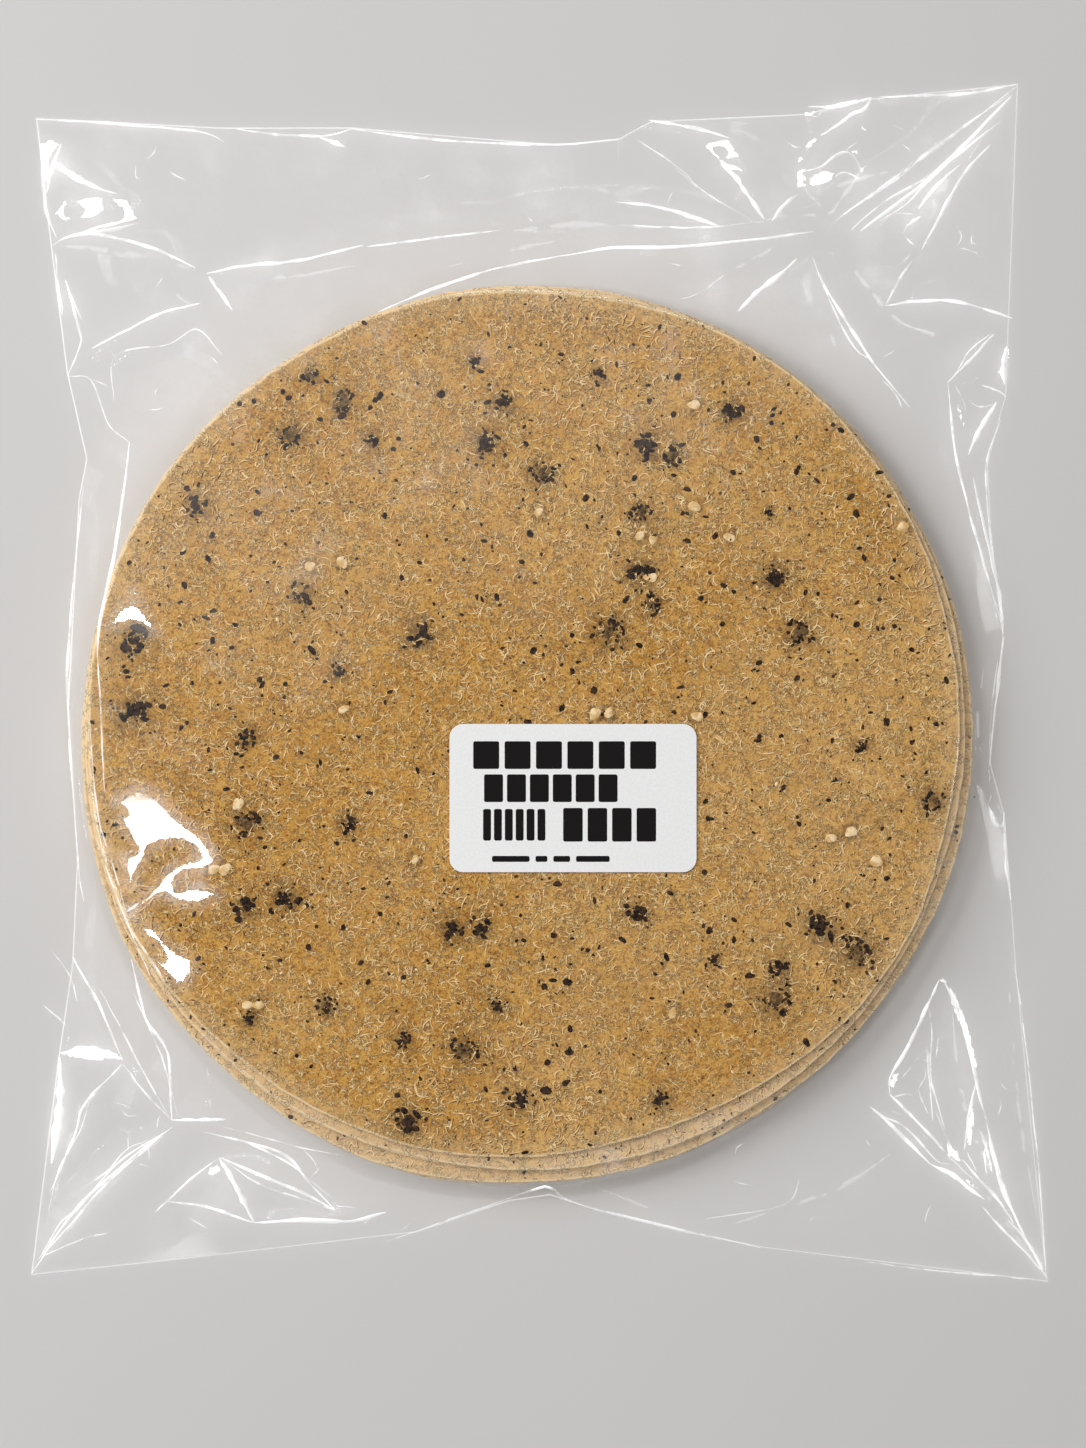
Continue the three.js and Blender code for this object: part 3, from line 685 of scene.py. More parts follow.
def dough_finish(colours):
    """Dry papad dough: mottled tan with pale curls and painted shade beside them, ochre blotches, a pale cut
    rim with a painted highlight, and pepper stains
    """
    finish = Finish("papad_dough")
    places = finish.places()
    grain = finish.noise(places, 2300.0, 2.0, 0.6)
    mottle = finish.noise(places, 800.0, 2.0, 0.55)
    blotches = finish.noise(places, 90.0, 4.0, 0.6).ramp(0.44, 0.66)
    patches = finish.noise(places, 22.0, 2.0, 0.5).ramp(0.35, 0.68)
    swirl = finish.noise(places, 1050.0, 1.0, 0.5)
    gaps = finish.noise(places, 480.0, 1.0, 0.5).ramp(0.42, 0.56)
    curls = (1.0 - abs(swirl - 0.5) * 18.0).clipped() * gaps
    # Dark lines just beside the pale curls: a groove in the relief, and painted shade in the colour
    grooves_and_shade = (1.0 - abs(swirl - 0.56) * 18.0).clipped() * gaps
    rim = finish.attribute("rim")
    soak = finish.noise(places, 620.0, 3.0, 0.7).ramp(0.36, 0.6)
    stain = finish.attribute("stain") * (0.35 + soak * 0.65)
    pits = finish.noise(places, 1500.0, 1.0, 0.5).ramp(0.57, 0.66)
    tone = (grain * 0.6 + mottle * 0.4).ramp(0.31, 0.6)
    colour = finish.blend(tone, colours.dough_dark, colours.dough)
    colour = finish.blend(blotches * 0.4, colour, colours.ochre)
    colour = finish.blend(patches * 0.12, colour, colours.husk)
    colour = finish.blend(pits * 0.4, colour, colours.bran)
    colour = finish.blend(grooves_and_shade * 0.4, colour, colours.bran)
    colour = finish.blend(curls * 0.75, colour, colours.husk)
    # Pale cut rim, partly a painted highlight along the edge
    colour = finish.blend(rim * 0.85, colour, colours.rim)
    colour = finish.blend(stain * 0.8, colour, colours.soaked)
    relief = finish.bump(grain * 0.5 + curls * 0.6 - grooves_and_shade * 0.3, 0.00028)
    rough = 0.55 + mottle * 0.25
    return finish.solid(
        {"Base Color": colour, "Roughness": rough, "Normal": relief, "Specular IOR Level": 0.1}
    )


def speckled_finish(name, dark, light, scale, roughness, relief):
    """A small piece whose colour runs between two tones"""
    finish = Finish(name)
    grain = finish.noise(finish.places(), scale, 3.0, 0.6)
    colour = finish.blend(grain.ramp(0.35, 0.68), dark, light)
    bump = finish.bump(grain, relief)
    rough = roughness + grain * 0.15
    return finish.solid(
        {"Base Color": colour, "Roughness": rough, "Normal": bump, "Specular IOR Level": 0.06}
    )


def film_finish(name, straight_gloss, milk, clouding):
    """Clear film: see-through, glossy where its shine value is high, and milky with a painted glow where its
    haze_and_glow value is high
    """
    finish = Finish(name)
    places = finish.places()
    cloud = finish.noise(places, 60.0, 5.0, 0.62).ramp(0.45, 0.8)
    facing = finish.node("ShaderNodeLayerWeight", {}, {"Blend": 0.5}, output="Facing")
    glancing = facing.math("POWER", facing, 5.0)
    speckle = finish.noise(places, 1700.0, 1.0, 0.5)
    shine = (finish.attribute("shine") * 1.7 - speckle * 1.2).clipped()
    gloss = (straight_gloss + glancing * (1.0 - straight_gloss)) * shine + 0.0001
    # Whitish streaks in the haze, partly wrinkles of the film and partly a painted sheen
    wrinkle_haze_and_sheen = (1.0 - abs(finish.noise(places, 26.0, 3.0, 0.55) - 0.5) * 16.0).clipped()
    haze = (milk + cloud * clouding + wrinkle_haze_and_sheen * cloud * 3.0 * clouding) * finish.attribute("haze_and_glow")
    total = gloss + haze
    inputs = {
        "Base Color": (0.96, 0.96, 0.965, 1.0),
        "Metallic": gloss / total,
        # The emission is a painted glow of the film's haze and gloss
        "Roughness": 0.06 + cloud * 0.05,
        "Emission Color": PAINTED_GLOW_WHITE,
        "Emission Strength": HAZE_PAINTED_GLOW,
    }
    return finish.clear(total, inputs)


def crease_painted_highlight_finish():
    """Sharply folded film, white where it is stressed, with a painted highlight and glow along its back"""
    finish = Finish("film_crease_painted_highlight")
    breaks = finish.noise(finish.places(), 220.0, 2.0, 0.5).ramp(0.38, 0.56)
    inputs = {
        "Base Color": FILM_WHITE,
        "Roughness": 0.26 + breaks * 0.08,
        "Emission Color": PAINTED_GLOW_WHITE,
        "Emission Strength": CREASE_PAINTED_GLOW,
    }
    return finish.clear((breaks * 0.6 + finish.attribute("strength")).clipped(), inputs)


def seam_finish():
    """Cut edge of the bag, a fine white line"""
    finish = Finish("film_seam")
    cloud = finish.noise(finish.places(), 30.0, 2.0, 0.5).ramp(0.3, 0.7)
    return finish.clear(0.5 + cloud * 0.35, {"Base Color": FILM_WHITE, "Roughness": 0.25 + cloud * 0.05})


def paper_finish(colours):
    """Coated white label paper"""
    finish = Finish("label_paper")
    fibre = finish.noise(finish.places(), 1800.0, 3.0, 0.6)
    tone = tuple(0.94 * v for v in colours.paper)
    colour = finish.blend(fibre.ramp(0.3, 0.7), tone, colours.paper)
    bump = finish.bump(fibre, 0.00001)
    return finish.solid({"Base Color": colour, "Roughness": 0.42 + fibre * 0.1, "Normal": bump})


def ink_finish(colours):
    """Matt black print"""
    finish = Finish("black_print")
    grain = finish.noise(finish.places(), 2500.0, 2.0, 0.5)
    colour = finish.blend(grain, colours.print_black, tuple(1.6 * v for v in colours.print_black))
    return finish.solid({"Base Color": colour, "Roughness": 0.6 + grain * 0.1, "Specular IOR Level": 0.1})


def table_finish(colours):
    """Plain pale floor"""
    finish = Finish("plain_table")
    cloud = finish.noise(finish.places(), 6.0, 2.0, 0.5)
    low = tuple(0.985 * v for v in colours.table)
    colour = finish.blend(cloud.ramp(0.3, 0.7), low, colours.table)
    return finish.solid({"Base Color": colour, "Roughness": 0.6 + cloud * 0.05})


# Forms


def soft_noise(x, y, cell, seed):
    """Smooth random heights between -1 and 1, one for each cell of a grid"""
    table = np.random.default_rng(seed).uniform(-1.0, 1.0, (64, 64))
    u = np.asarray(x) / cell + 300.0
    v = np.asarray(y) / cell + 300.0
    i = np.floor(u).astype(int)
    j = np.floor(v).astype(int)
    s = u - i
    t = v - j
    s = s * s * (3.0 - 2.0 * s)
    t = t * t * (3.0 - 2.0 * t)
    low = table[i % 64, j % 64] * (1.0 - s) + table[(i + 1) % 64, j % 64] * s
    high = table[i % 64, (j + 1) % 64] * (1.0 - s) + table[(i + 1) % 64, (j + 1) % 64] * s
    return low * (1.0 - t) + high * t


def soft_step(value, low, high):
    """0 below low and 1 above high, smooth between"""
    share = np.clip((value - low) / (high - low), 0.0, 1.0)
    return share * share * (3.0 - 2.0 * share)


def edge_reach(layer, angle):
    """Distance from the pile's middle to a papadum's edge, smooth between the named reaches"""
    reaches = np.array(LAYERS[layer][1])
    place = np.asarray(angle) / (2.0 * np.pi) * len(reaches)
    index = np.floor(place).astype(int)
    t = place - index
    before, start, end, after = (reaches[(index + step) % len(reaches)] for step in (-1, 0, 1, 2))
    squared = (2.0 * before - 5.0 * start + 4.0 * end - after) * t**2
    cubed = (3.0 * start - before - 3.0 * end + after) * t**3
    return start + ((end - before) * t + squared + cubed) / 2.0


def pile_place(x, y):
    """Distance and angle of a place from the pile's middle"""
    return np.hypot(x - PILE_X, y - PILE_Y), np.arctan2(y - PILE_Y, x - PILE_X)


def rim_distance(angle):
    """Distance from the pile's middle to the film over the top papadum's edge"""
    return edge_reach(0, angle) + RIM_SLACK


def foot_distance(angle):
    """Distance from the pile's middle to the film over the outermost papadum's edge"""
    return np.max([edge_reach(layer, angle) for layer in range(len(LAYERS))], axis=0) + RIM_SLACK


def outline_places(parts):
    """Points of the bag's outline counter-clockwise, parts for each edge, and the edge's lift at each"""
    places = []
    lifts = []
    for (start, end, shares, pulls), count in zip(EDGES, parts):
        start = np.array(start)
        along = np.array(end) - start
        inward = np.array([-along[1], along[0]]) / np.hypot(*along)
        share = np.arange(count) / count
        pull = np.interp(share, (0.0, *shares, 1.0), (0.0, *pulls, 0.0))
        places.append(start + share[:, None] * along + pull[:, None] * inward)
        lifts.append(EDGE_LIFT + LIFT_PER_PULL * pull)
    return np.concatenate(places), np.concatenate(lifts)


@functools.cache
def outline_table():
    """Angle, distance from the pile's middle and lift all round the outline"""
    places, lifts = outline_places((400, 400, 400, 400))
    distance, angle = pile_place(*places.T)
    order = np.argsort(angle)
    return angle[order], distance[order], lifts[order]


def margin_place(x, y):
    """Share of the margin, 0 at the pile's foot and 1 at the outline, and the outline's lift that way"""
    distance, angle = pile_place(x, y)
    angles, reaches, lifts = outline_table()
    reach = np.interp(angle, angles, reaches, period=2.0 * np.pi)
    lift = np.interp(angle, angles, lifts, period=2.0 * np.pi)
    foot = foot_distance(angle)
    return np.clip((distance - foot) / (reach - foot), 0.0, 1.0), lift


def pile_share(x, y):
    """Share of the full height that the film keeps as it hangs from the nearest papadum's edge"""
    distance, angle = pile_place(x, y)
    shares = []
    for layer, (top, _) in enumerate(LAYERS):
        out = np.maximum(0.0, distance - edge_reach(layer, angle) - RIM_SLACK)
        shares.append(top * np.maximum(0.0, 1.0 - out / SLOPE_REACH) ** SLOPE_CURVE)
    return np.max(shares, axis=0)


def fold_rise(x, y):
    """Height of the highest main fold"""
    highest = np.zeros_like(x)
    for rise, spread, *route in FOLDS:
        for start, end in zip(route[:-1], route[1:]):
            ax, ay = end[0] - start[0], end[1] - start[1]
            share = np.clip(((x - start[0]) * ax + (y - start[1]) * ay) / (ax**2 + ay**2), 0.0, 1.0)
            away = np.hypot(x - start[0] - share * ax, y - start[1] - share * ay)
            crest = FOLD_END + (1.0 - FOLD_END) * np.sin(np.pi * share)
            rise_here = rise * crest * np.maximum(0.0, 1.0 - away / spread) ** FOLD_CREST
            highest = np.maximum(highest, rise_here)
    return highest


@functools.cache
def crumple_net():
    """Net of flat triangles with random heights, as crumpled film has"""
    rng = np.random.default_rng(SEEDS["crumple"])
    step = CRUMPLE_SPACING
    columns = np.arange(-118.0, 119.0, step)
    rows = np.arange(-136.0, 137.0, step * 0.87)
    x, y = np.meshgrid(columns, rows)
    x[1::2] += step / 2.0
    x = x + rng.uniform(-0.36, 0.36, x.shape) * step
    y = y + rng.uniform(-0.36, 0.36, y.shape) * step
    corners = [Vector(place) for place in zip(x.ravel(), y.ravel())]
    places, _, triangles, *_ = delaunay_2d_cdt(corners, [], [], 0, 1e-6)
    heights = rng.normal(0.0, 0.5, len(places))
    return np.array([tuple(p) for p in places]), heights, np.array([tuple(t) for t in triangles])


def crumple_height(x, y):
    """Height of the crumple net, between about -1 and 1"""
    places, heights, triangles = crumple_net()
    found = np.zeros_like(x)
    for triangle in triangles:
        (ax, ay), (bx, by), (cx, cy) = places[triangle]
        near = np.flatnonzero(
            (x >= min(ax, bx, cx)) & (x <= max(ax, bx, cx)) & (y >= min(ay, by, cy)) & (y <= max(ay, by, cy))
        )
        area = (bx - ax) * (cy - ay) - (cx - ax) * (by - ay)
        px = x[near] - ax
        py = y[near] - ay
        second = (px * (cy - ay) - (cx - ax) * py) / area
        third = ((bx - ax) * py - px * (by - ay)) / area
        inside = (second >= -1e-9) & (third >= -1e-9) & (second + third <= 1.0 + 1e-9)
        height = heights[triangle]
        level = height[0] + second * (height[1] - height[0]) + third * (height[2] - height[0])
        found[near[inside]] = level[inside]
    return found


def crumple_strength(x, y):
    """How strongly the film is crumpled"""
    strength = np.full_like(x, CRUMPLE_REST)
    for middle_x, middle_y, radius, height in CRUMPLES:
        away = np.hypot(x - middle_x, y - middle_y) / radius
        strength = np.maximum(strength, height * np.exp(-(away**2)))
    return strength


def label_clearance(x, y):
    """0 on the label and 1 well away from it, as the film lies flat under the label"""
    low, high = LABEL_BOX
    away_x = np.maximum(low[0] / MM - x, x - high[0] / MM)
    away_y = np.maximum(low[1] / MM - y, y - high[1] / MM)
    return soft_step(np.maximum(away_x, away_y), 1.0, 9.0)


def front_film_height(x, y):
    """Height of the front film over the table"""
    distance, angle = pile_place(x, y)
    rim = rim_distance(angle)
    share, lift = margin_place(x, y)
    filled = (BAG_TOP - EDGE_THICKNESS) * pile_share(x, y) * (1.0 - share**2)
    margin = lift * share**2 + EDGE_THICKNESS * (1.0 - 0.75 * share**12) + PUFF * np.sin(np.pi * share)
    fade = np.clip((distance - rim) / FOLD_FADE, 0.0, 1.0) * (1.0 - share**6)
    crumple = crumple_height(x, y)
    relief = (fold_rise(x, y) + crumple * crumple_strength(x, y)) * fade
    over_margin = np.maximum(filled + margin + relief, lift * share**2 + 0.2)
    flat = FLAT_RELIEF * np.maximum(0.0, 1.0 + 0.6 * crumple + 0.6 * soft_noise(x, y, 17.0, 5))
    share_over = 1.0 - soft_step(distance - rim, -1.0, 6.0)
    return np.where(distance < rim, BAG_TOP, over_margin) + flat * label_clearance(x, y) * share_over


def light_slope(x, y):
    """Slope of the front film towards the light at the upper left"""
    probe = 0.5
    here = front_film_height(x, y)
    along_x = (front_film_height(x + probe, y) - here) / probe
    along_y = (front_film_height(x, y + probe) - here) / probe
    return (along_x - along_y) / np.sqrt(2.0)


def facing_slope(place, softbox):
    """Slopes along X and Y that turn a spot of film so that the camera sees the softbox mirrored in it"""
    to_camera = np.array(CAMERA_PLACE) - place
    to_light = np.array(SOFTBOXES[softbox][0]) - place
    half_way = to_camera / np.linalg.norm(to_camera) + to_light / np.linalg.norm(to_light)
    return -half_way[:2] / half_way[2]


def dough_waves(x, y):
    """Slight unevenness of a papad's face"""
    return sum(height * soft_noise(x, y, length, seed) for height, length, seed in DOUGH_WAVES)


def face_height(x, y):
    """Height of the papad face that shows at a place, and 0 outside the pile"""
    distance, angle = pile_place(x, y)
    level = np.zeros_like(x)
    for layer in reversed(range(len(LAYERS))):
        inside = distance < edge_reach(layer, angle) - RIM_MARGIN
        level = np.where(inside, np.floor(LAYERS[layer][0] * BAG_TOP / PAPAD_PITCH) * PAPAD_PITCH, level)
    return np.where(level > 0.0, level - FACE_DROP + dough_waves(x, y), 0.0)


def smooth_route(points, step):
    """Evenly spaced points on a smooth curve through the given ones"""
    known = np.array(points, float)
    known = np.vstack([2.0 * known[0] - known[1], known, 2.0 * known[-1] - known[-2]])
    t = np.linspace(0.0, 1.0, 24, endpoint=False)[:, None]
    pieces = []
    for a, b, c, d in zip(known[:-3], known[1:-2], known[2:-1], known[3:]):
        bend = (2.0 * a - 5.0 * b + 4.0 * c - d) * t**2 + (3.0 * b - a - 3.0 * c + d) * t**3
        pieces.append(0.5 * (2.0 * b + (c - a) * t + bend))
    curve = np.vstack([*pieces, known[-2:-1]])
    travelled = np.concatenate([[0.0], np.cumsum(np.hypot(*np.diff(curve, axis=0).T))])
    count = max(4, int(travelled[-1] / step) + 1)
    even = np.linspace(0.0, travelled[-1], count)
    return np.column_stack([np.interp(even, travelled, curve[:, k]) for k in (0, 1)])


def straight_route(corners, step):
    """Points along the straight sides of a closed outline"""
    pieces = []
    for here, following in zip(corners, [*corners[1:], corners[0]]):
        start = np.array(here, float)
        end = np.array(following, float)
        parts = max(1, int(np.hypot(*(end - start)) / step))
        pieces.append(start + np.arange(parts)[:, None] / parts * (end - start))
    return np.vstack(pieces)


def ring_faces(rings, spokes, closed_middle=True):
    """Four-sided faces between rings of points, after a middle point where there is one"""
    start = 1 if closed_middle else 0
    here = np.arange(spokes)
    following = (here + 1) % spokes
    faces = []
    if closed_middle:
        faces += [(0, start + a, start + b) for a, b in zip(here.tolist(), following.tolist())]
    for ring in range(rings - 1):
        inner = start + ring * spokes
        outer = inner + spokes
        quads = np.column_stack([inner + here, outer + here, outer + following, inner + following])
        faces += [tuple(quad) for quad in quads.tolist()]
    return faces


def joined(parts):
    """Places and faces of several parts as those of one mesh"""
    places, faces = [], []
    start = 0
    for points, sides in parts:
        faces += [tuple(start + i for i in side) for side in sides]
        places.append(points)
        start += len(points)
    return np.concatenate(places), faces


def add_piece(name, places, faces, material, slot, smooth=True):
    """Adds a mesh piece from places in millimetres, riding on the pack"""
    mesh = bpy.data.meshes.new(name)
    mesh.from_pydata((np.asarray(places) * MM).tolist(), [], faces)
    mesh.polygons.foreach_set("use_smooth", [smooth] * len(mesh.polygons))
    mesh.materials.append(material)
    piece = bpy.data.objects.new(name, mesh)
    bpy.context.scene.collection.objects.link(piece)
    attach(piece, "root")
    return piece


def film_rings(top_shares, margin_count):
    """Places of a film's rings, from the middle to the outline, as arrays of x and y"""
    outline, _ = outline_places(FILM_PARTS)
    reach, angle = pile_place(*outline.T)
    rim = rim_distance(angle)
    foot = foot_distance(angle)
    top = [rim * share for share in top_shares]
    side = [rim + (foot - rim) * share for share in (0.25, 0.5, 0.75, 1.0)]
    margin = [foot + (reach - foot) * ((i + 1) / margin_count) ** 1.15 for i in range(margin_count)]
    distances = np.array(top + side + margin)
    return PILE_X + distances * np.cos(angle), PILE_Y + distances * np.sin(angle)


def ball(subdivisions):
    """Points and triangles of a small ball of radius 1"""
    shape = bmesh.new()
    bmesh.ops.create_icosphere(shape, subdivisions=subdivisions, radius=1.0)
    places = np.array([tuple(v.co) for v in shape.verts])
    faces = np.array([[v.index for v in f.verts] for f in shape.faces])
    shape.free()
    return places, faces


def scatter(rng, subdivisions, places, sizes, angles, rough, taper=0.0):
    """Joined lumps: one squashed, turned, tapered and roughened ball at each place"""
    base, faces = ball(subdivisions)
    base = base * np.column_stack([np.ones(len(base)), 1.0 - taper * base[:, 0], np.ones(len(base))])
    count = len(places)
    swell = np.ones((count, len(base)))
    for waves in (1.6, 3.0, 5.0):
        turns = rng.normal(0.0, waves, (count, 3))
        swell += rough * np.cos(turns @ base.T + rng.uniform(0.0, 2.0 * np.pi, (count, 1)))
    lumps = base[None] * swell[..., None] * np.asarray(sizes)[:, None, :]
    cosine = np.cos(angles)[:, None]
    sine = np.sin(angles)[:, None]
    x = lumps[..., 0] * cosine - lumps[..., 1] * sine
    y = lumps[..., 0] * sine + lumps[..., 1] * cosine
    joined = np.stack([x, y, lumps[..., 2]], axis=-1) + np.asarray(places)[:, None, :]
    shifts = (np.arange(count) * len(base))[:, None, None]
    return joined.reshape(-1, 3), (faces[None] + shifts).reshape(-1, 3).tolist()


def papad_places(rng, count):
    """Random places over the papad faces that show"""
    found_x, found_y = [], []
    while sum(map(len, found_x)) < count:
        distance = PILE_REACH * np.sqrt(rng.uniform(0.0, 1.0, count))
        angle = rng.uniform(0.0, 2.0 * np.pi, count)
        x = PILE_X + distance * np.cos(angle)
        y = PILE_Y + distance * np.sin(angle)
        kept = face_height(x, y) > 0.0
        found_x.append(x[kept])
        found_y.append(y[kept])
    return np.concatenate(found_x)[:count], np.concatenate(found_y)[:count]


def sliver_routes(rng, count, lengths, turn, stations):
    """Short bent routes over the papads, none across an edge, as arrays of x, y and heading"""
    x, y = papad_places(rng, count)
    length = rng.gamma(4.0, (lengths[0] + lengths[1]) / 8.0, count).clip(*lengths)
    heading = rng.uniform(0.0, 2.0 * np.pi, count)
    bend = rng.normal(0.0, turn, count)
    angle = heading[:, None] + bend[:, None] * np.linspace(-0.5, 0.5, stations)
    step = length[:, None] / (stations - 1)
    route_x = np.cumsum(step * np.cos(angle), axis=1)
    route_y = np.cumsum(step * np.sin(angle), axis=1)
    route_x += (x - route_x.mean(axis=1))[:, None]
    route_y += (y - route_y.mean(axis=1))[:, None]
    level = face_height(route_x, route_y)
    whole = np.ptp(level, axis=1) < 0.5 * PAPAD_PITCH
    return route_x[whole], route_y[whole], angle[whole]


def slivers(route_x, route_y, angle, width, back):
    """Joined slivers along routes, each a tapered strip with a raised back"""
    count, stations = route_x.shape
    taper = np.sqrt(1.0 - 0.9 * np.linspace(-1.0, 1.0, stations) ** 2)
    half = width[:, None] * taper / 2.0
    rows = []
    for side, level in ((-1.0, -0.02), (0.0, back), (1.0, -0.02)):
        x = route_x - side * half * np.sin(angle)
        y = route_y + side * half * np.cos(angle)
        rows.append(np.stack([x, y, face_height(x, y) + level], axis=-1))
    places = np.stack(rows, axis=1).reshape(-1, 3)
    quads = []
    for start in (0, stations):
        for k in range(start, start + stations - 1):
            quads.append((k, k + 1, k + 1 + stations, k + stations))
    shifts = (np.arange(count) * 3 * stations)[:, None, None]
    return places, (np.array(quads)[None] + shifts).reshape(-1, 4).tolist()


def clump_parts(rng, clumps, kind):
    """Places and sizes of one kind of fragment of the cracked peppercorns"""
    x, y, size = [], [], []
    for middle_x, middle_y, width in clumps:
        lean = rng.uniform(0.0, np.pi)
        fewest, more, *sizes = FRAGMENTS[kind]
        count = int(fewest + more * width)
        if kind == "core":
            away = width * rng.uniform(0.03, 0.4, count)
        elif kind == "ring":
            away = width * 0.36 * rng.normal(1.0, 0.08, count)
        else:
            away = np.abs(rng.normal(0.0, width * STRAY[kind], count))
        grain = rng.uniform(*sizes, count) * (width if kind == "core" else 1.0)
        angle = rng.uniform(0.0, 2.0 * np.pi, count)
        along = 1.25 * away * np.cos(angle)
        across = 0.8 * away * np.sin(angle)
        x.append(middle_x + along * np.cos(lean) - across * np.sin(lean))
        y.append(middle_y + along * np.sin(lean) + across * np.cos(lean))
        size.append(grain)
    return np.concatenate(x), np.concatenate(y), np.concatenate(size)


def facet_sheet(rng, outline, slope, level, fade):
    """Triangles of a taut facet of film: a tilted plane, a little domed, with soft uneven edges"""
    middle = np.mean(outline, axis=0)
    outline = outline + rng.normal(0.0, 0.05, outline.shape)
    low = outline.min(axis=0)
    high = outline.max(axis=0)
    columns = np.arange(low[0], high[0], FACET_STEP)
    rows = np.arange(low[1], high[1], FACET_STEP)
    grid_x, grid_y = np.meshgrid(columns, rows)
    inner = np.column_stack([grid_x.ravel(), grid_y.ravel()])
    inner = inner + rng.uniform(-0.15, 0.15, inner.shape)
    count = len(outline)
    loop = list(range(count))
    points = [Vector(place) for place in np.concatenate([outline, inner]).tolist()]
    found, _, triangles, originals, *_ = delaunay_2d_cdt(points, [], [loop], 1, 1e-5)
    flat = np.array([tuple(place) for place in found])
    on_edge = np.array([any(index < count for index in source) for source in originals])
    away = flat - middle
    z = level + away @ slope - FACET_DOME * (away**2).sum(axis=1)
    softness = fade / PILE_FACET_FADE
    ripple = FACET_RIPPLE * softness * soft_noise(flat[:, 0], flat[:, 1], 3.0, 41)
    z = z + ripple - np.where(on_edge, FACET_LIP * softness, 0.0)
    inward = np.hypot(*(flat[:, None] - flat[on_edge][None]).T).min(axis=0)
    shine = soft_step(inward, 0.0, fade)
    return np.column_stack([flat, z]), [tuple(triangle) for triangle in triangles], shine


def bar_outline(width, height, corner, arc_parts=6):
    """Outline of a bar with round corners, counter-clockwise from its right side"""
    points = []
    for quarter, (sx, sy) in enumerate(((1, 1), (-1, 1), (-1, -1), (1, -1))):
        for angle in np.linspace(0.0, np.pi / 2.0, arc_parts + 1) + quarter * np.pi / 2.0:
            x = sx * (width / 2.0 - corner) + corner * np.cos(angle)
            y = sy * (height / 2.0 - corner) + corner * np.sin(angle)
            points.append((x, y))
    return np.array(points)


def slab(outline, levels, insets):
    """Closed flat body from an outline: its level and inset at each ring, bottom to top"""
    middle = outline.mean(axis=0)
    half = np.abs(outline - middle).max(axis=0)
    rings = []
    for level, inset in zip(levels, insets):
        ring = middle + (outline - middle) * (1.0 - inset / half)
        rings.append(np.column_stack([ring, np.full(len(ring), level)]))
    count = len(outline)
    faces = [tuple(range(count - 1, -1, -1))]
    for ring in range(len(levels) - 1):
        low = ring * count
        for i in range(count):
            j = (i + 1) % count
            faces.append((low + i, low + j, low + count + j, low + count + i))
    top = (len(levels) - 1) * count
    faces.append(tuple(range(top, top + count)))
    return np.concatenate(rings), faces


def bead_piece(rng, name, routes, material, is_soft):
    """Rounded beads along routes on the front film, faint with soft edges or strong with sharp ones"""
    across = np.array([-1.0, -0.6, 0.0, 0.6, 1.0])
    back = np.sqrt(1.0 - across**2)
    flat, raised, faces, strength = [], [], [], []
    total = 0
    for width, route in routes:
        count = len(route)
        tangent = np.gradient(route, axis=0)
        tangent = tangent / np.maximum(np.hypot(*tangent.T), 1e-9)[:, None]
        normal = np.column_stack([-tangent[:, 1], tangent[:, 0]])
        share = np.linspace(0.0, 1.0, count)
        # Cover of the bead's white, which is partly a painted highlight
        if is_soft:
            strength.append(np.tile(0.22 * back - 0.6, count))
        else:
            strength.append(np.full(count * 5, np.interp(width, (0.3, 1.2), (0.05, 0.75))))
        swell = np.interp(share, np.linspace(0.0, 1.0, 13), rng.uniform(0.35, 1.05, 13))
        half = 0.5 * width * swell * np.sqrt(np.maximum(0.02, np.sin(np.pi * share)))
        wander = np.interp(share, np.linspace(0.0, 1.0, 12), rng.normal(0.0, 0.05, 12))
        offset = wander[:, None] + half[:, None] * across[None]
        flat.append((route[:, None] + offset[..., None] * normal[:, None]).reshape(-1, 2))
        raised.append((0.4 * half[:, None] * back[None] - 0.03).ravel())
        for k in range(count - 1):
            for m in range(4):
                a = total + k * 5 + m
                faces.append((a, a + 5, a + 6, a + 1))
        total += count * 5
    flat = np.concatenate(flat)
    z = front_film_height(flat[:, 0], flat[:, 1]) + np.concatenate(raised)
    piece = add_piece(name, np.column_stack([flat, z]), faces, material, "film")
    set_values(piece, "strength", np.concatenate(strength))
    piece.visible_shadow = False


def add_seam(outline, material):
    """Thin rounded edge where the front and back film meet"""
    before = np.roll(outline, 1, axis=0)
    after = np.roll(outline, -1, axis=0)
    tangent = (after - before) / np.hypot(*(after - before).T)[:, None]
    inward = np.column_stack([-tangent[:, 1], tangent[:, 0]])
    share, lift = margin_place(outline[:, 0], outline[:, 1])
    level = lift * share**2
    rings = []
    for inset, height in SEAM_SECTION:
        ring = outline + inset * inward
        rings.append(np.column_stack([ring, np.maximum(0.0, level + height)]))
    faces = ring_faces(len(rings), len(outline), closed_middle=False)
    piece = add_piece("film_seam", np.concatenate(rings), faces, material, "film")
    piece.visible_shadow = False


def set_values(piece, name, values):
    """Stores one value for each point of a piece, for its material"""
    stored = piece.data.attributes.new(name, "FLOAT", "POINT")
    stored.data.foreach_set("value", np.asarray(values, dtype=np.float32))


# Operators, one for each piece or group of like pieces


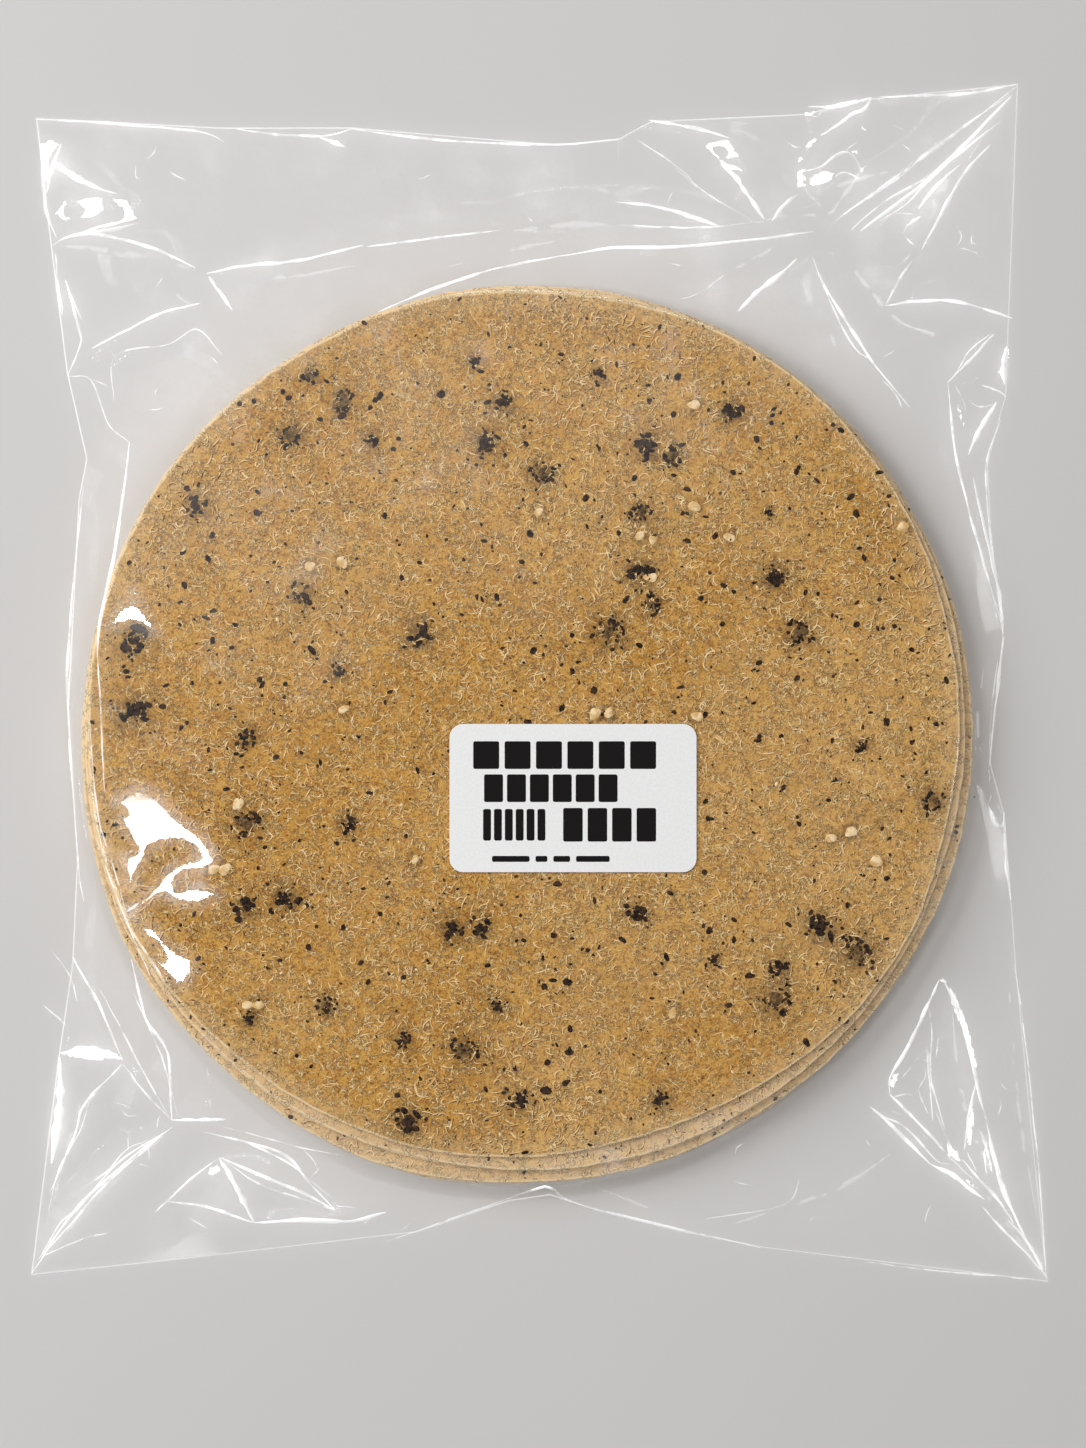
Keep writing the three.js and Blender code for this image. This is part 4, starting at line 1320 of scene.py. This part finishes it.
class PAPADPACK_OT_film(bpy.types.Operator):
    """Make the clear film, front and back"""

    bl_idname = "papadpack.film"
    bl_label = "Bag film"

    def execute(self, context):
        material = film_finish("clear_film", FILM_GLOSS, 0.01, 0.02)
        x, y = film_rings(FRONT_RINGS, FRONT_MARGIN_RINGS)
        z = front_film_height(x.ravel(), y.ravel())
        middle = [[PILE_X, PILE_Y, BAG_TOP]]
        places = np.concatenate([middle, np.column_stack([x.ravel(), y.ravel(), z])])
        front = add_piece("film_front", places, ring_faces(*x.shape), material, "film")
        distance, angle = pile_place(*places[:, :2].T)
        shine = 1.0 - (1.0 - MARGIN_SHINE) * soft_step(distance - foot_distance(angle), 0.0, 4.0)
        self.finish_film(front, self.front_haze_and_glow(*places[:, :2].T), shine)

        x, y = film_rings(BACK_RINGS, BACK_MARGIN_RINGS)
        share, lift = margin_place(x.ravel(), y.ravel())
        relief = crumple_height(-x.ravel(), y.ravel()) * crumple_strength(x.ravel(), y.ravel())
        ripple = 0.5 * np.maximum(0.0, relief) * np.sin(np.pi * share)
        z = np.maximum(BACK_LEVEL, lift * share**2 + ripple)
        middle = [[PILE_X, PILE_Y, BACK_LEVEL]]
        places = np.concatenate([middle, np.column_stack([x.ravel(), y.ravel(), z])])
        faces = [face[::-1] for face in ring_faces(*x.shape)]
        back_material = film_finish("clear_back_film", BACK_FILM_GLOSS, 0.0, 0.0)
        back = add_piece("film_back", places, faces, back_material, "film")
        self.finish_film(back, np.zeros(len(places)))
        self.add_facets(film_finish("taut_film", FACET_GLOSS, 0.02, 0.03))
        return {"FINISHED"}

    def front_haze_and_glow(self, x, y):
        """Haze of the front film, partly painted light: over the margin, with a painted sheen where it faces
        the light; over the ledges; over the pile's upper left side, partly a painted sheen; and round the
        glare as a painted glow
        """
        distance, angle = pile_place(x, y)
        out = distance - rim_distance(angle)
        past = distance - foot_distance(angle)
        # Painted sheen, laid on as haze where the film slopes towards the light
        painted_sheen = np.clip(light_slope(x, y) / SHEEN_SLOPE, -0.2, 1.0)
        margin = soft_step(out, -1.0, 8.0) * (1.0 + PAINTED_SHEEN_HAZE * painted_sheen)
        ledge = LEDGE_VEIL * soft_step(out, -0.6, 0.4) * (1.0 - soft_step(past, -0.5, 1.5))
        # Haze over the pile, stronger towards its upper left where the light falls: partly a painted sheen
        upper_left_haze_and_sheen = PILE_HAZE_AND_SHEEN * soft_step((y - PILE_Y) - 0.5 * (x - PILE_X), 0.0, PILE_REACH)
        haze_and_glow = np.max([margin, ledge, upper_left_haze_and_sheen], axis=0)
        # Painted glow round each facet's glare, laid on as haze
        glowing = [(PILE_GLOW, *facet) for facet in PILE_FACETS]
        glowing += [(MARGIN_GLOW, *facet) for facet in MARGIN_FACETS]
        for glow, _, *corners in glowing:
            route = smooth_route([*corners, corners[0]], GLOW_REACH)
            low = route.min(axis=0) - 3.0 * GLOW_REACH
            high = route.max(axis=0) + 3.0 * GLOW_REACH
            near = np.flatnonzero((x > low[0]) & (x < high[0]) & (y > low[1]) & (y < high[1]))
            away = np.hypot(x[near, None] - route[:, 0], y[near, None] - route[:, 1]).min(axis=1)
            haze_and_glow[near] += glow * np.exp(-((away / GLOW_REACH) ** 2))
        return haze_and_glow

    def finish_film(self, piece, haze_and_glow, shine=None):
        """Stores the haze, with its painted glow, and the gloss of a film piece; film this clear casts next
        to no shadow
        """
        set_values(piece, "haze_and_glow", haze_and_glow)
        set_values(piece, "shine", np.ones(len(haze_and_glow)) if shine is None else shine)
        piece.visible_shadow = False
        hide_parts("bag")

    def add_facets(self, material):
        """Taut facets of the front film that mirror the softboxes"""
        rng = np.random.default_rng(SEEDS["facets"])
        sheets, shines = [], []
        for facets, over_pile in ((PILE_FACETS, True), (MARGIN_FACETS, False)):
            for softbox, *corners in facets:
                middle = np.mean(corners, axis=0)
                level = BAG_TOP if over_pile else front_film_height(middle[:1], middle[1:])[0]
                slope = facing_slope(np.array([*middle, level]), softbox)
                if over_pile:
                    reach = np.abs(np.array(corners) - middle).max()
                    level += 0.7 * reach * np.hypot(*slope)
                    outline = smooth_route([*corners, corners[0]], FACET_STEP)[:-1]
                    fade = PILE_FACET_FADE
                else:
                    outline = straight_route(corners, 0.5 * FACET_STEP)
                    fade = MARGIN_FACET_FADE
                places, triangles, shine = facet_sheet(rng, outline, slope, level + 0.1, fade)
                sheets.append((places, triangles))
                shines.append(shine)
        shine = np.concatenate(shines)
        self.finish_film(add_piece("film_facets", *joined(sheets), material, "film"), shine, shine)


class PAPADPACK_OT_creases(bpy.types.Operator):
    """Make the sharp creases, fine crinkles and faint folds of the film as white beads with a painted
    highlight and glow, and its seam
    """

    bl_idname = "papadpack.creases"
    bl_label = "Film creases"

    def execute(self, context):
        rng = np.random.default_rng(SEEDS["creases"])
        routes = [(width, smooth_route(points, CREASE_STEP)) for width, *points in CREASES]
        for middle_x, middle_y, radius, height in CRUMPLES:
            for _ in range(int(1 + radius * height * CRINKLE_SHARE)):
                place = np.array([middle_x, middle_y]) + rng.normal(0.0, radius * 0.42, 2)
                heading = rng.uniform(0.0, np.pi)
                run = rng.uniform(*CRINKLE_RUNS) * np.array([np.cos(heading), np.sin(heading)])
                bow = rng.normal(0.0, 0.4, 2)
                share, _ = margin_place(*(place[:, None]))
                if 0.02 < share[0] < 0.95:
                    route = smooth_route([place - run, place + bow, place + run], CREASE_STEP)
                    routes.append((rng.uniform(*CRINKLE_WIDTHS), route))
        material = crease_painted_highlight_finish()
        bead_piece(rng, "film_creases", routes, material, False)
        soft_routes = [(width, smooth_route(points, CREASE_STEP)) for width, *points in SOFT_FOLDS]
        bead_piece(rng, "film_soft_folds", soft_routes, material, True)
        seam, _ = outline_places(SEAM_PARTS)
        add_seam(seam, seam_finish())
        return {"FINISHED"}


class PAPADPACK_OT_papads(bpy.types.Operator):
    """Make the pile of papadums"""

    bl_idname = "papadpack.papads"
    bl_label = "Papadums"

    def execute(self, context):
        sizes = context.scene.pack_sizes
        material = dough_finish(context.scene.pack_colours)
        rng = np.random.default_rng(SEEDS["papads"])
        for index in range(sizes.papad_count):
            level = (index + 1) * PAPAD_PITCH
            layer = next(i for i in reversed(range(len(LAYERS))) if level <= LAYERS[i][0] * BAG_TOP)
            is_top = index == sizes.papad_count - 1
            is_shown = is_top or level + PAPAD_PITCH > LAYERS[layer][0] * BAG_TOP
            wander = rng.normal(0.0, 0.22, 2) * (0.0 if is_shown else 1.0)
            centre = np.array([PILE_X, PILE_Y]) + wander
            self.add_papad(index, level, centre, layer, is_top, is_shown, material, rng)
        return {"FINISHED"}

    def add_papad(self, index, level, centre, layer, is_top, is_shown, material, rng):
        """One papad: a thin wavy disc with an uneven cut edge"""
        spokes = TOP_SPOKES if is_top else LOWER_SPOKES
        shares = np.array([*(TOP_RINGS if is_top else LOWER_RINGS), *RIM_RINGS])
        angle = np.arange(spokes) * 2.0 * np.pi / spokes
        edge = edge_reach(layer, angle)
        for waves in range(9, 30, 2):
            edge += rng.normal(0.0, EDGE_WAVE / waves) * np.cos(waves * angle + rng.uniform(0.0, 6.28))
        edge += EDGE_ROUGHNESS * soft_noise(angle * 60.0, 0.0 * angle, 1.7, 100 + index)
        droop = np.zeros(spokes)
        for waves in range(2, 7):
            droop += rng.normal(0.0, DROOP) * np.cos(waves * angle + rng.uniform(0.0, 6.28))
        thickness = bpy.context.scene.pack_sizes.papad_thickness / MM
        face = level - FACE_DROP
        rings = []
        for share in shares:
            x = centre[0] + edge * share * np.cos(angle)
            y = centre[1] + edge * share * np.sin(angle)
            waves = dough_waves(x, y) if is_shown else 0.0
            rounding = RIM_ROUNDING * np.clip((share - 0.994) / 0.006, 0.0, 1.0) ** 2
            rings.append(np.column_stack([x, y, face + waves + droop * share**8 - rounding]))
        for share, depth in SIDE_RINGS:
            x = centre[0] + edge * share * np.cos(angle)
            y = centre[1] + edge * share * np.sin(angle)
            rings.append(np.column_stack([x, y, face - depth * thickness + droop]))
        middle = [[*centre, face]]
        under = [[*centre, face - thickness]]
        places = np.concatenate([middle, *rings, under])
        faces = ring_faces(len(rings), spokes)
        last = 1 + (len(rings) - 1) * spokes
        faces += [(last + i, len(places) - 1, last + (i + 1) % spokes) for i in range(spokes)]
        piece = add_piece(f"papad_{index + 1:02d}", places, faces, material, "papad")
        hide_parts("bag")
        # Pale cut edge of each papad, partly a painted highlight along it; a lower papad, whose ledge shows,
        # is made paler all over as painted light that lifts it out of shade
        ring_share = np.repeat([*shares, 1.0, 1.0, 1.0, 0.9], spokes)
        inner_rim = 0.2 * soft_step(ring_share, 0.94, 0.985)
        pale = np.maximum(inner_rim, soft_step(ring_share, 0.993, 0.9985))
        rim = np.concatenate([[0.0], pale, [0.0]])
        set_values(piece, "rim", rim if is_top else np.maximum(rim, LEDGE_PAINTED_LIGHT))
        set_values(piece, "stain", self.stain(places) if is_top else np.zeros(len(places)))

    def stain(self, places):
        """Brown halo that soaks into the dough round each peppercorn, and a thin ring round each kernel"""
        stain = np.zeros(len(places))
        for x, y, width in (*PEPPER_CLUMPS, *PEPPER_RINGS):
            away = np.hypot(places[:, 0] - x, places[:, 1] - y) / (HALO_SHARE * width)
            stain = np.maximum(stain, np.exp(-(away**2)))
        for x, y in KERNELS:
            away = np.hypot(places[:, 0] - x, places[:, 1] - y)
            ring = (away - KERNEL_RING) / KERNEL_RING_WIDTH
            stain = np.maximum(stain, 0.9 * np.exp(-(ring**2)))
        return stain


class PAPADPACK_OT_pepper(bpy.types.Operator):
    """Make the cracked pepper and its specks"""

    bl_idname = "papadpack.pepper"
    bl_label = "Pepper"

    def execute(self, context):
        colours = context.scene.pack_colours
        sizes = context.scene.pack_sizes
        pepper = (colours.pepper, colours.pepper_light)
        material = speckled_finish("cracked_pepper", *pepper, 1500.0, 0.4, 0.0004)
        rng = np.random.default_rng(SEEDS["pepper"])
        both = (*PEPPER_CLUMPS, *PEPPER_RINGS)
        self.add_grains(rng, "pepper_cores", clump_parts(rng, PEPPER_CLUMPS, "core"), 3, material)
        self.add_grains(rng, "pepper_rings", clump_parts(rng, PEPPER_RINGS, "ring"), 2, material)
        self.add_grains(rng, "pepper_chips", clump_parts(rng, both, "chip"), 2, material)
        self.add_grains(rng, "pepper_dust", clump_parts(rng, both, "dust"), 1, material)
        x, y = papad_places(rng, sizes.speck_count)
        size = rng.gamma(2.6, 0.1, sizes.speck_count).clip(*SPECK_SIZES)
        self.add_grains(rng, "pepper_specks", (x, y, size), 1, material)
        x, y = papad_places(rng, COARSE_SPECKS)
        kept = (x > PILE_X) | (y > PILE_Y)
        size = rng.uniform(*COARSE_SPECK_SIZES, COARSE_SPECKS)
        self.add_grains(rng, "pepper_coarse_specks", (x[kept], y[kept], size[kept]), 2, material)
        x, y, width = np.array(PEPPER_RINGS).T
        shade = tuple(0.35 * v for v in colours.husk_shade)
        heart = speckled_finish("pepper_heart", colours.soaked, shade, 1300.0, 0.6, 0.0002)
        self.add_grains(rng, "pepper_hearts", (x, y, 0.2 * width), 2, heart)
        return {"FINISHED"}

    def add_grains(self, rng, name, grains, subdivisions, material):
        """Joined fragments at places, each squashed into the dough"""
        x, y, size = grains
        long = size * rng.uniform(0.9, 1.5, len(size))
        wide = size * rng.uniform(0.6, 1.0, len(size))
        thick = np.minimum(0.13, size * 0.6)
        places = np.column_stack([x, y, face_height(x, y) + 0.03])
        turns = rng.uniform(0.0, 2.0 * np.pi, len(size))
        points, faces = scatter(rng, subdivisions, places, np.column_stack([long, wide, thick]), turns, 0.1)
        add_piece(name, points, faces, material, "pepper", smooth=False)


class PAPADPACK_OT_kernels(bpy.types.Operator):
    """Make the cream kernels and grains"""

    bl_idname = "papadpack.kernels"
    bl_label = "Kernels and grains"

    def execute(self, context):
        colours = context.scene.pack_colours
        cream = (colours.husk_shade, colours.kernel)
        material = speckled_finish("cream_kernel", *cream, 700.0, 0.45, 0.0001)
        rng = np.random.default_rng(SEEDS["kernels"])
        x, y = np.array(KERNELS).T
        size = rng.uniform(1.05, 1.45, len(x))
        shape = np.column_stack([size, size * rng.uniform(0.6, 0.8, len(x)), np.full(len(x), 0.17)])
        self.add_lumps(rng, "kernels", x, y, shape, 3, 0.05, material, 0.3)
        count = context.scene.pack_sizes.grain_count
        x, y = papad_places(rng, count)
        size = rng.gamma(4.0, 0.05, count)
        shape = np.column_stack([size * 1.3, size * 0.8, np.minimum(0.1, size * 0.5)])
        self.add_lumps(rng, "cream_grains", x, y, shape, 1, 0.06, material, 0.0)
        return {"FINISHED"}

    def add_lumps(self, rng, name, x, y, shape, subdivisions, rough, material, taper):
        """Joined cream lumps at places"""
        places = np.column_stack([x, y, face_height(x, y)])
        turns = rng.uniform(0.0, 2.0 * np.pi, len(x))
        points, faces = scatter(rng, subdivisions, places, shape, turns, rough, taper)
        add_piece(name, points, faces, material, "kernel")


class PAPADPACK_OT_husk(bpy.types.Operator):
    """Make the pale husk fibres, dark slivers beside them as their painted shadows, and the brown bran
    slivers
    """

    bl_idname = "papadpack.husk"
    bl_label = "Husk and bran"

    def execute(self, context):
        colours = context.scene.pack_colours
        sizes = context.scene.pack_sizes
        rng = np.random.default_rng(SEEDS["husk"])
        pale = speckled_finish("husk_fibre", colours.husk_shade, colours.husk, 600.0, 0.5, 0.0001)
        x, y, angle = sliver_routes(rng, sizes.fibre_count, FIBRE_LENGTHS, 2.8, 6)
        width = rng.uniform(*FIBRE_WIDTHS, len(x))
        places, faces = slivers(x, y, angle, width, 0.08)
        add_piece("husk_fibres", places, faces, pale, "papad")
        # Dark slivers beside every other fibre, offset towards the lower right: painted shadows of the fibres
        # under light from the upper left
        fibre_shadow = speckled_finish("husk_painted_shadow", colours.bran, colours.dough_dark, 700.0, 0.7, 0.0001)
        shadow_offset = 0.16
        every_other = (x[:, ::2] + shadow_offset, y[:, ::2] - shadow_offset, angle[:, ::2])
        places, faces = slivers(*every_other, width * 0.9, 0.02)
        add_piece("husk_painted_shadows", places, faces, fibre_shadow, "papad")
        shade = tuple(0.5 * v for v in colours.bran)
        dark = speckled_finish("bran_sliver", shade, colours.bran, 900.0, 0.6, 0.0001)
        x, y, angle = sliver_routes(rng, sizes.bran_count, BRAN_LENGTHS, 0.8, 4)
        places, faces = slivers(x, y, angle, rng.uniform(*BRAN_WIDTHS, len(x)), 0.03)
        add_piece("bran_slivers", places, faces, dark, "papad")
        return {"FINISHED"}


class PAPADPACK_OT_label(bpy.types.Operator):
    """Make the paper label and its plain printed blocks"""

    bl_idname = "papadpack.label"
    bl_label = "Label"

    def execute(self, context):
        colours = context.scene.pack_colours
        corner = context.scene.pack_sizes.label_corner / MM
        low, high = LABEL_BOX
        width = (high[0] - low[0]) / MM
        height = (high[1] - low[1]) / MM
        centre = np.array([(high[0] + low[0]) / 2.0, (high[1] + low[1]) / 2.0]) / MM
        floor_level = low[2] / MM
        face_level = high[2] / MM - 0.02
        outline = bar_outline(width, height, corner, 12) + centre
        levels = (floor_level, floor_level + 0.04, face_level - 0.04, face_level)
        places, faces = slab(outline, levels, (0.05, 0.0, 0.0, 0.05))
        label = add_piece("paper_label", places, faces, paper_finish(colours), "label", smooth=False)
        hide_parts("label")
        self.add_print(colours, centre, face_level)
        return {"FINISHED"}

    def add_print(self, colours, centre, level):
        """Rows of plain blocks in the place of the words"""
        blocks = []
        for left, middle_y, length, height, count, gap in PRINT_ROWS:
            width = (length - gap * (count - 1)) / count
            for index in range(count):
                middle = (left + width / 2.0 + index * (width + gap), middle_y)
                outline = bar_outline(width, height, min(0.4, height * 0.3)) + centre + middle
                blocks.append(slab(outline, (level - 0.01, level + 0.015), (0.0, 0.0)))
        add_piece("label_print", *joined(blocks), ink_finish(colours), "print", smooth=False)


class PAPADPACK_OT_stage(bpy.types.Operator):
    """Make the floor, the soft lights and the camera"""

    bl_idname = "papadpack.stage"
    bl_label = "Stage"

    def execute(self, context):
        self.add_floor(table_finish(context.scene.pack_colours))
        for name, (place, width, depth, radiance) in SOFTBOXES.items():
            self.add_softbox(f"softbox_{name}", place, width, depth, radiance)
        world = bpy.data.worlds.new("pale_room")
        world.use_nodes = True
        background = world.node_tree.nodes["Background"]
        background.inputs["Color"].default_value = (1.0, 0.99, 0.98, 1.0)
        background.inputs["Strength"].default_value = WORLD_STRENGTH
        context.scene.world = world
        context.scene.view_settings.view_transform = "Standard"
        self.add_camera(context)
        return {"FINISHED"}

    def add_floor(self, material):
        """Plain floor just under the pack"""
        half = 3.0
        drop = -5e-5
        mesh = bpy.data.meshes.new("floor")
        corners = [(-half, -half, drop), (half, -half, drop), (half, half, drop), (-half, half, drop)]
        mesh.from_pydata(corners, [], [(0, 1, 2, 3)])
        mesh.materials.append(material)
        floor = bpy.data.objects.new("floor", mesh)
        bpy.context.scene.collection.objects.link(floor)

    def add_softbox(self, name, place, width, depth, radiance):
        """Rectangular softbox that faces the pack"""
        light = bpy.data.lights.new(name, "AREA")
        light.shape = "RECTANGLE"
        light.size = width * MM
        light.size_y = depth * MM
        light.energy = radiance * np.pi * light.size * light.size_y
        lamp = bpy.data.objects.new(name, light)
        lamp.visible_glossy = name != "softbox_key"
        lamp.location = Vector(place) * MM
        lamp.rotation_euler = (-lamp.location).to_track_quat("-Z", "Y").to_euler()
        bpy.context.scene.collection.objects.link(lamp)

    def add_camera(self, context):
        """Camera that takes in the photo's frame at the height of the top papad"""
        data = bpy.data.cameras.new("camera")
        data.sensor_width = SENSOR_WIDTH
        data.lens = data.sensor_width * (CAMERA_PLACE[2] - PILE_TOP) / FRAME_LENGTH
        camera = bpy.data.objects.new("camera", data)
        camera.location = Vector(CAMERA_PLACE) * MM
        context.scene.collection.objects.link(camera)
        context.scene.camera = camera


class PAPADPACK_PT_panel(bpy.types.Panel):
    """Lists the pack's pieces"""

    bl_idname = "PAPADPACK_PT_panel"
    bl_label = "Papad Pack"
    bl_space_type = "VIEW_3D"
    bl_region_type = "UI"
    bl_category = "Papad Pack"

    def draw(self, context):
        layout = self.layout
        for operator in OPERATORS:
            layout.operator(operator.bl_idname)
        for group in (context.scene.pack_sizes, context.scene.pack_colours):
            for name in group.bl_rna.properties.keys():
                if name not in ("rna_type", "name"):
                    layout.prop(group, name)


OPERATORS = (
    PAPADPACK_OT_film,
    PAPADPACK_OT_creases,
    PAPADPACK_OT_papads,
    PAPADPACK_OT_pepper,
    PAPADPACK_OT_kernels,
    PAPADPACK_OT_husk,
    PAPADPACK_OT_label,
    PAPADPACK_OT_stage,
)


def register():
    """Registers the settings, the operators and the panel"""
    for group in (PackSizes, PackColours, *OPERATORS, PAPADPACK_PT_panel):
        bpy.utils.register_class(group)
    bpy.types.Scene.pack_sizes = PointerProperty(type=PackSizes)
    bpy.types.Scene.pack_colours = PointerProperty(type=PackColours)


def unregister():
    """Takes back what register did"""
    del bpy.types.Scene.pack_colours
    del bpy.types.Scene.pack_sizes
    for group in (PAPADPACK_PT_panel, *reversed(OPERATORS), PackColours, PackSizes):
        bpy.utils.unregister_class(group)


def main():
    """Builds the pack"""
    register()
    bpy.ops.papadpack.stage()
    bpy.ops.papadpack.film()
    bpy.ops.papadpack.creases()
    bpy.ops.papadpack.papads()
    bpy.ops.papadpack.pepper()
    bpy.ops.papadpack.kernels()
    bpy.ops.papadpack.husk()
    bpy.ops.papadpack.label()


if __name__ == "__main__":
    main()
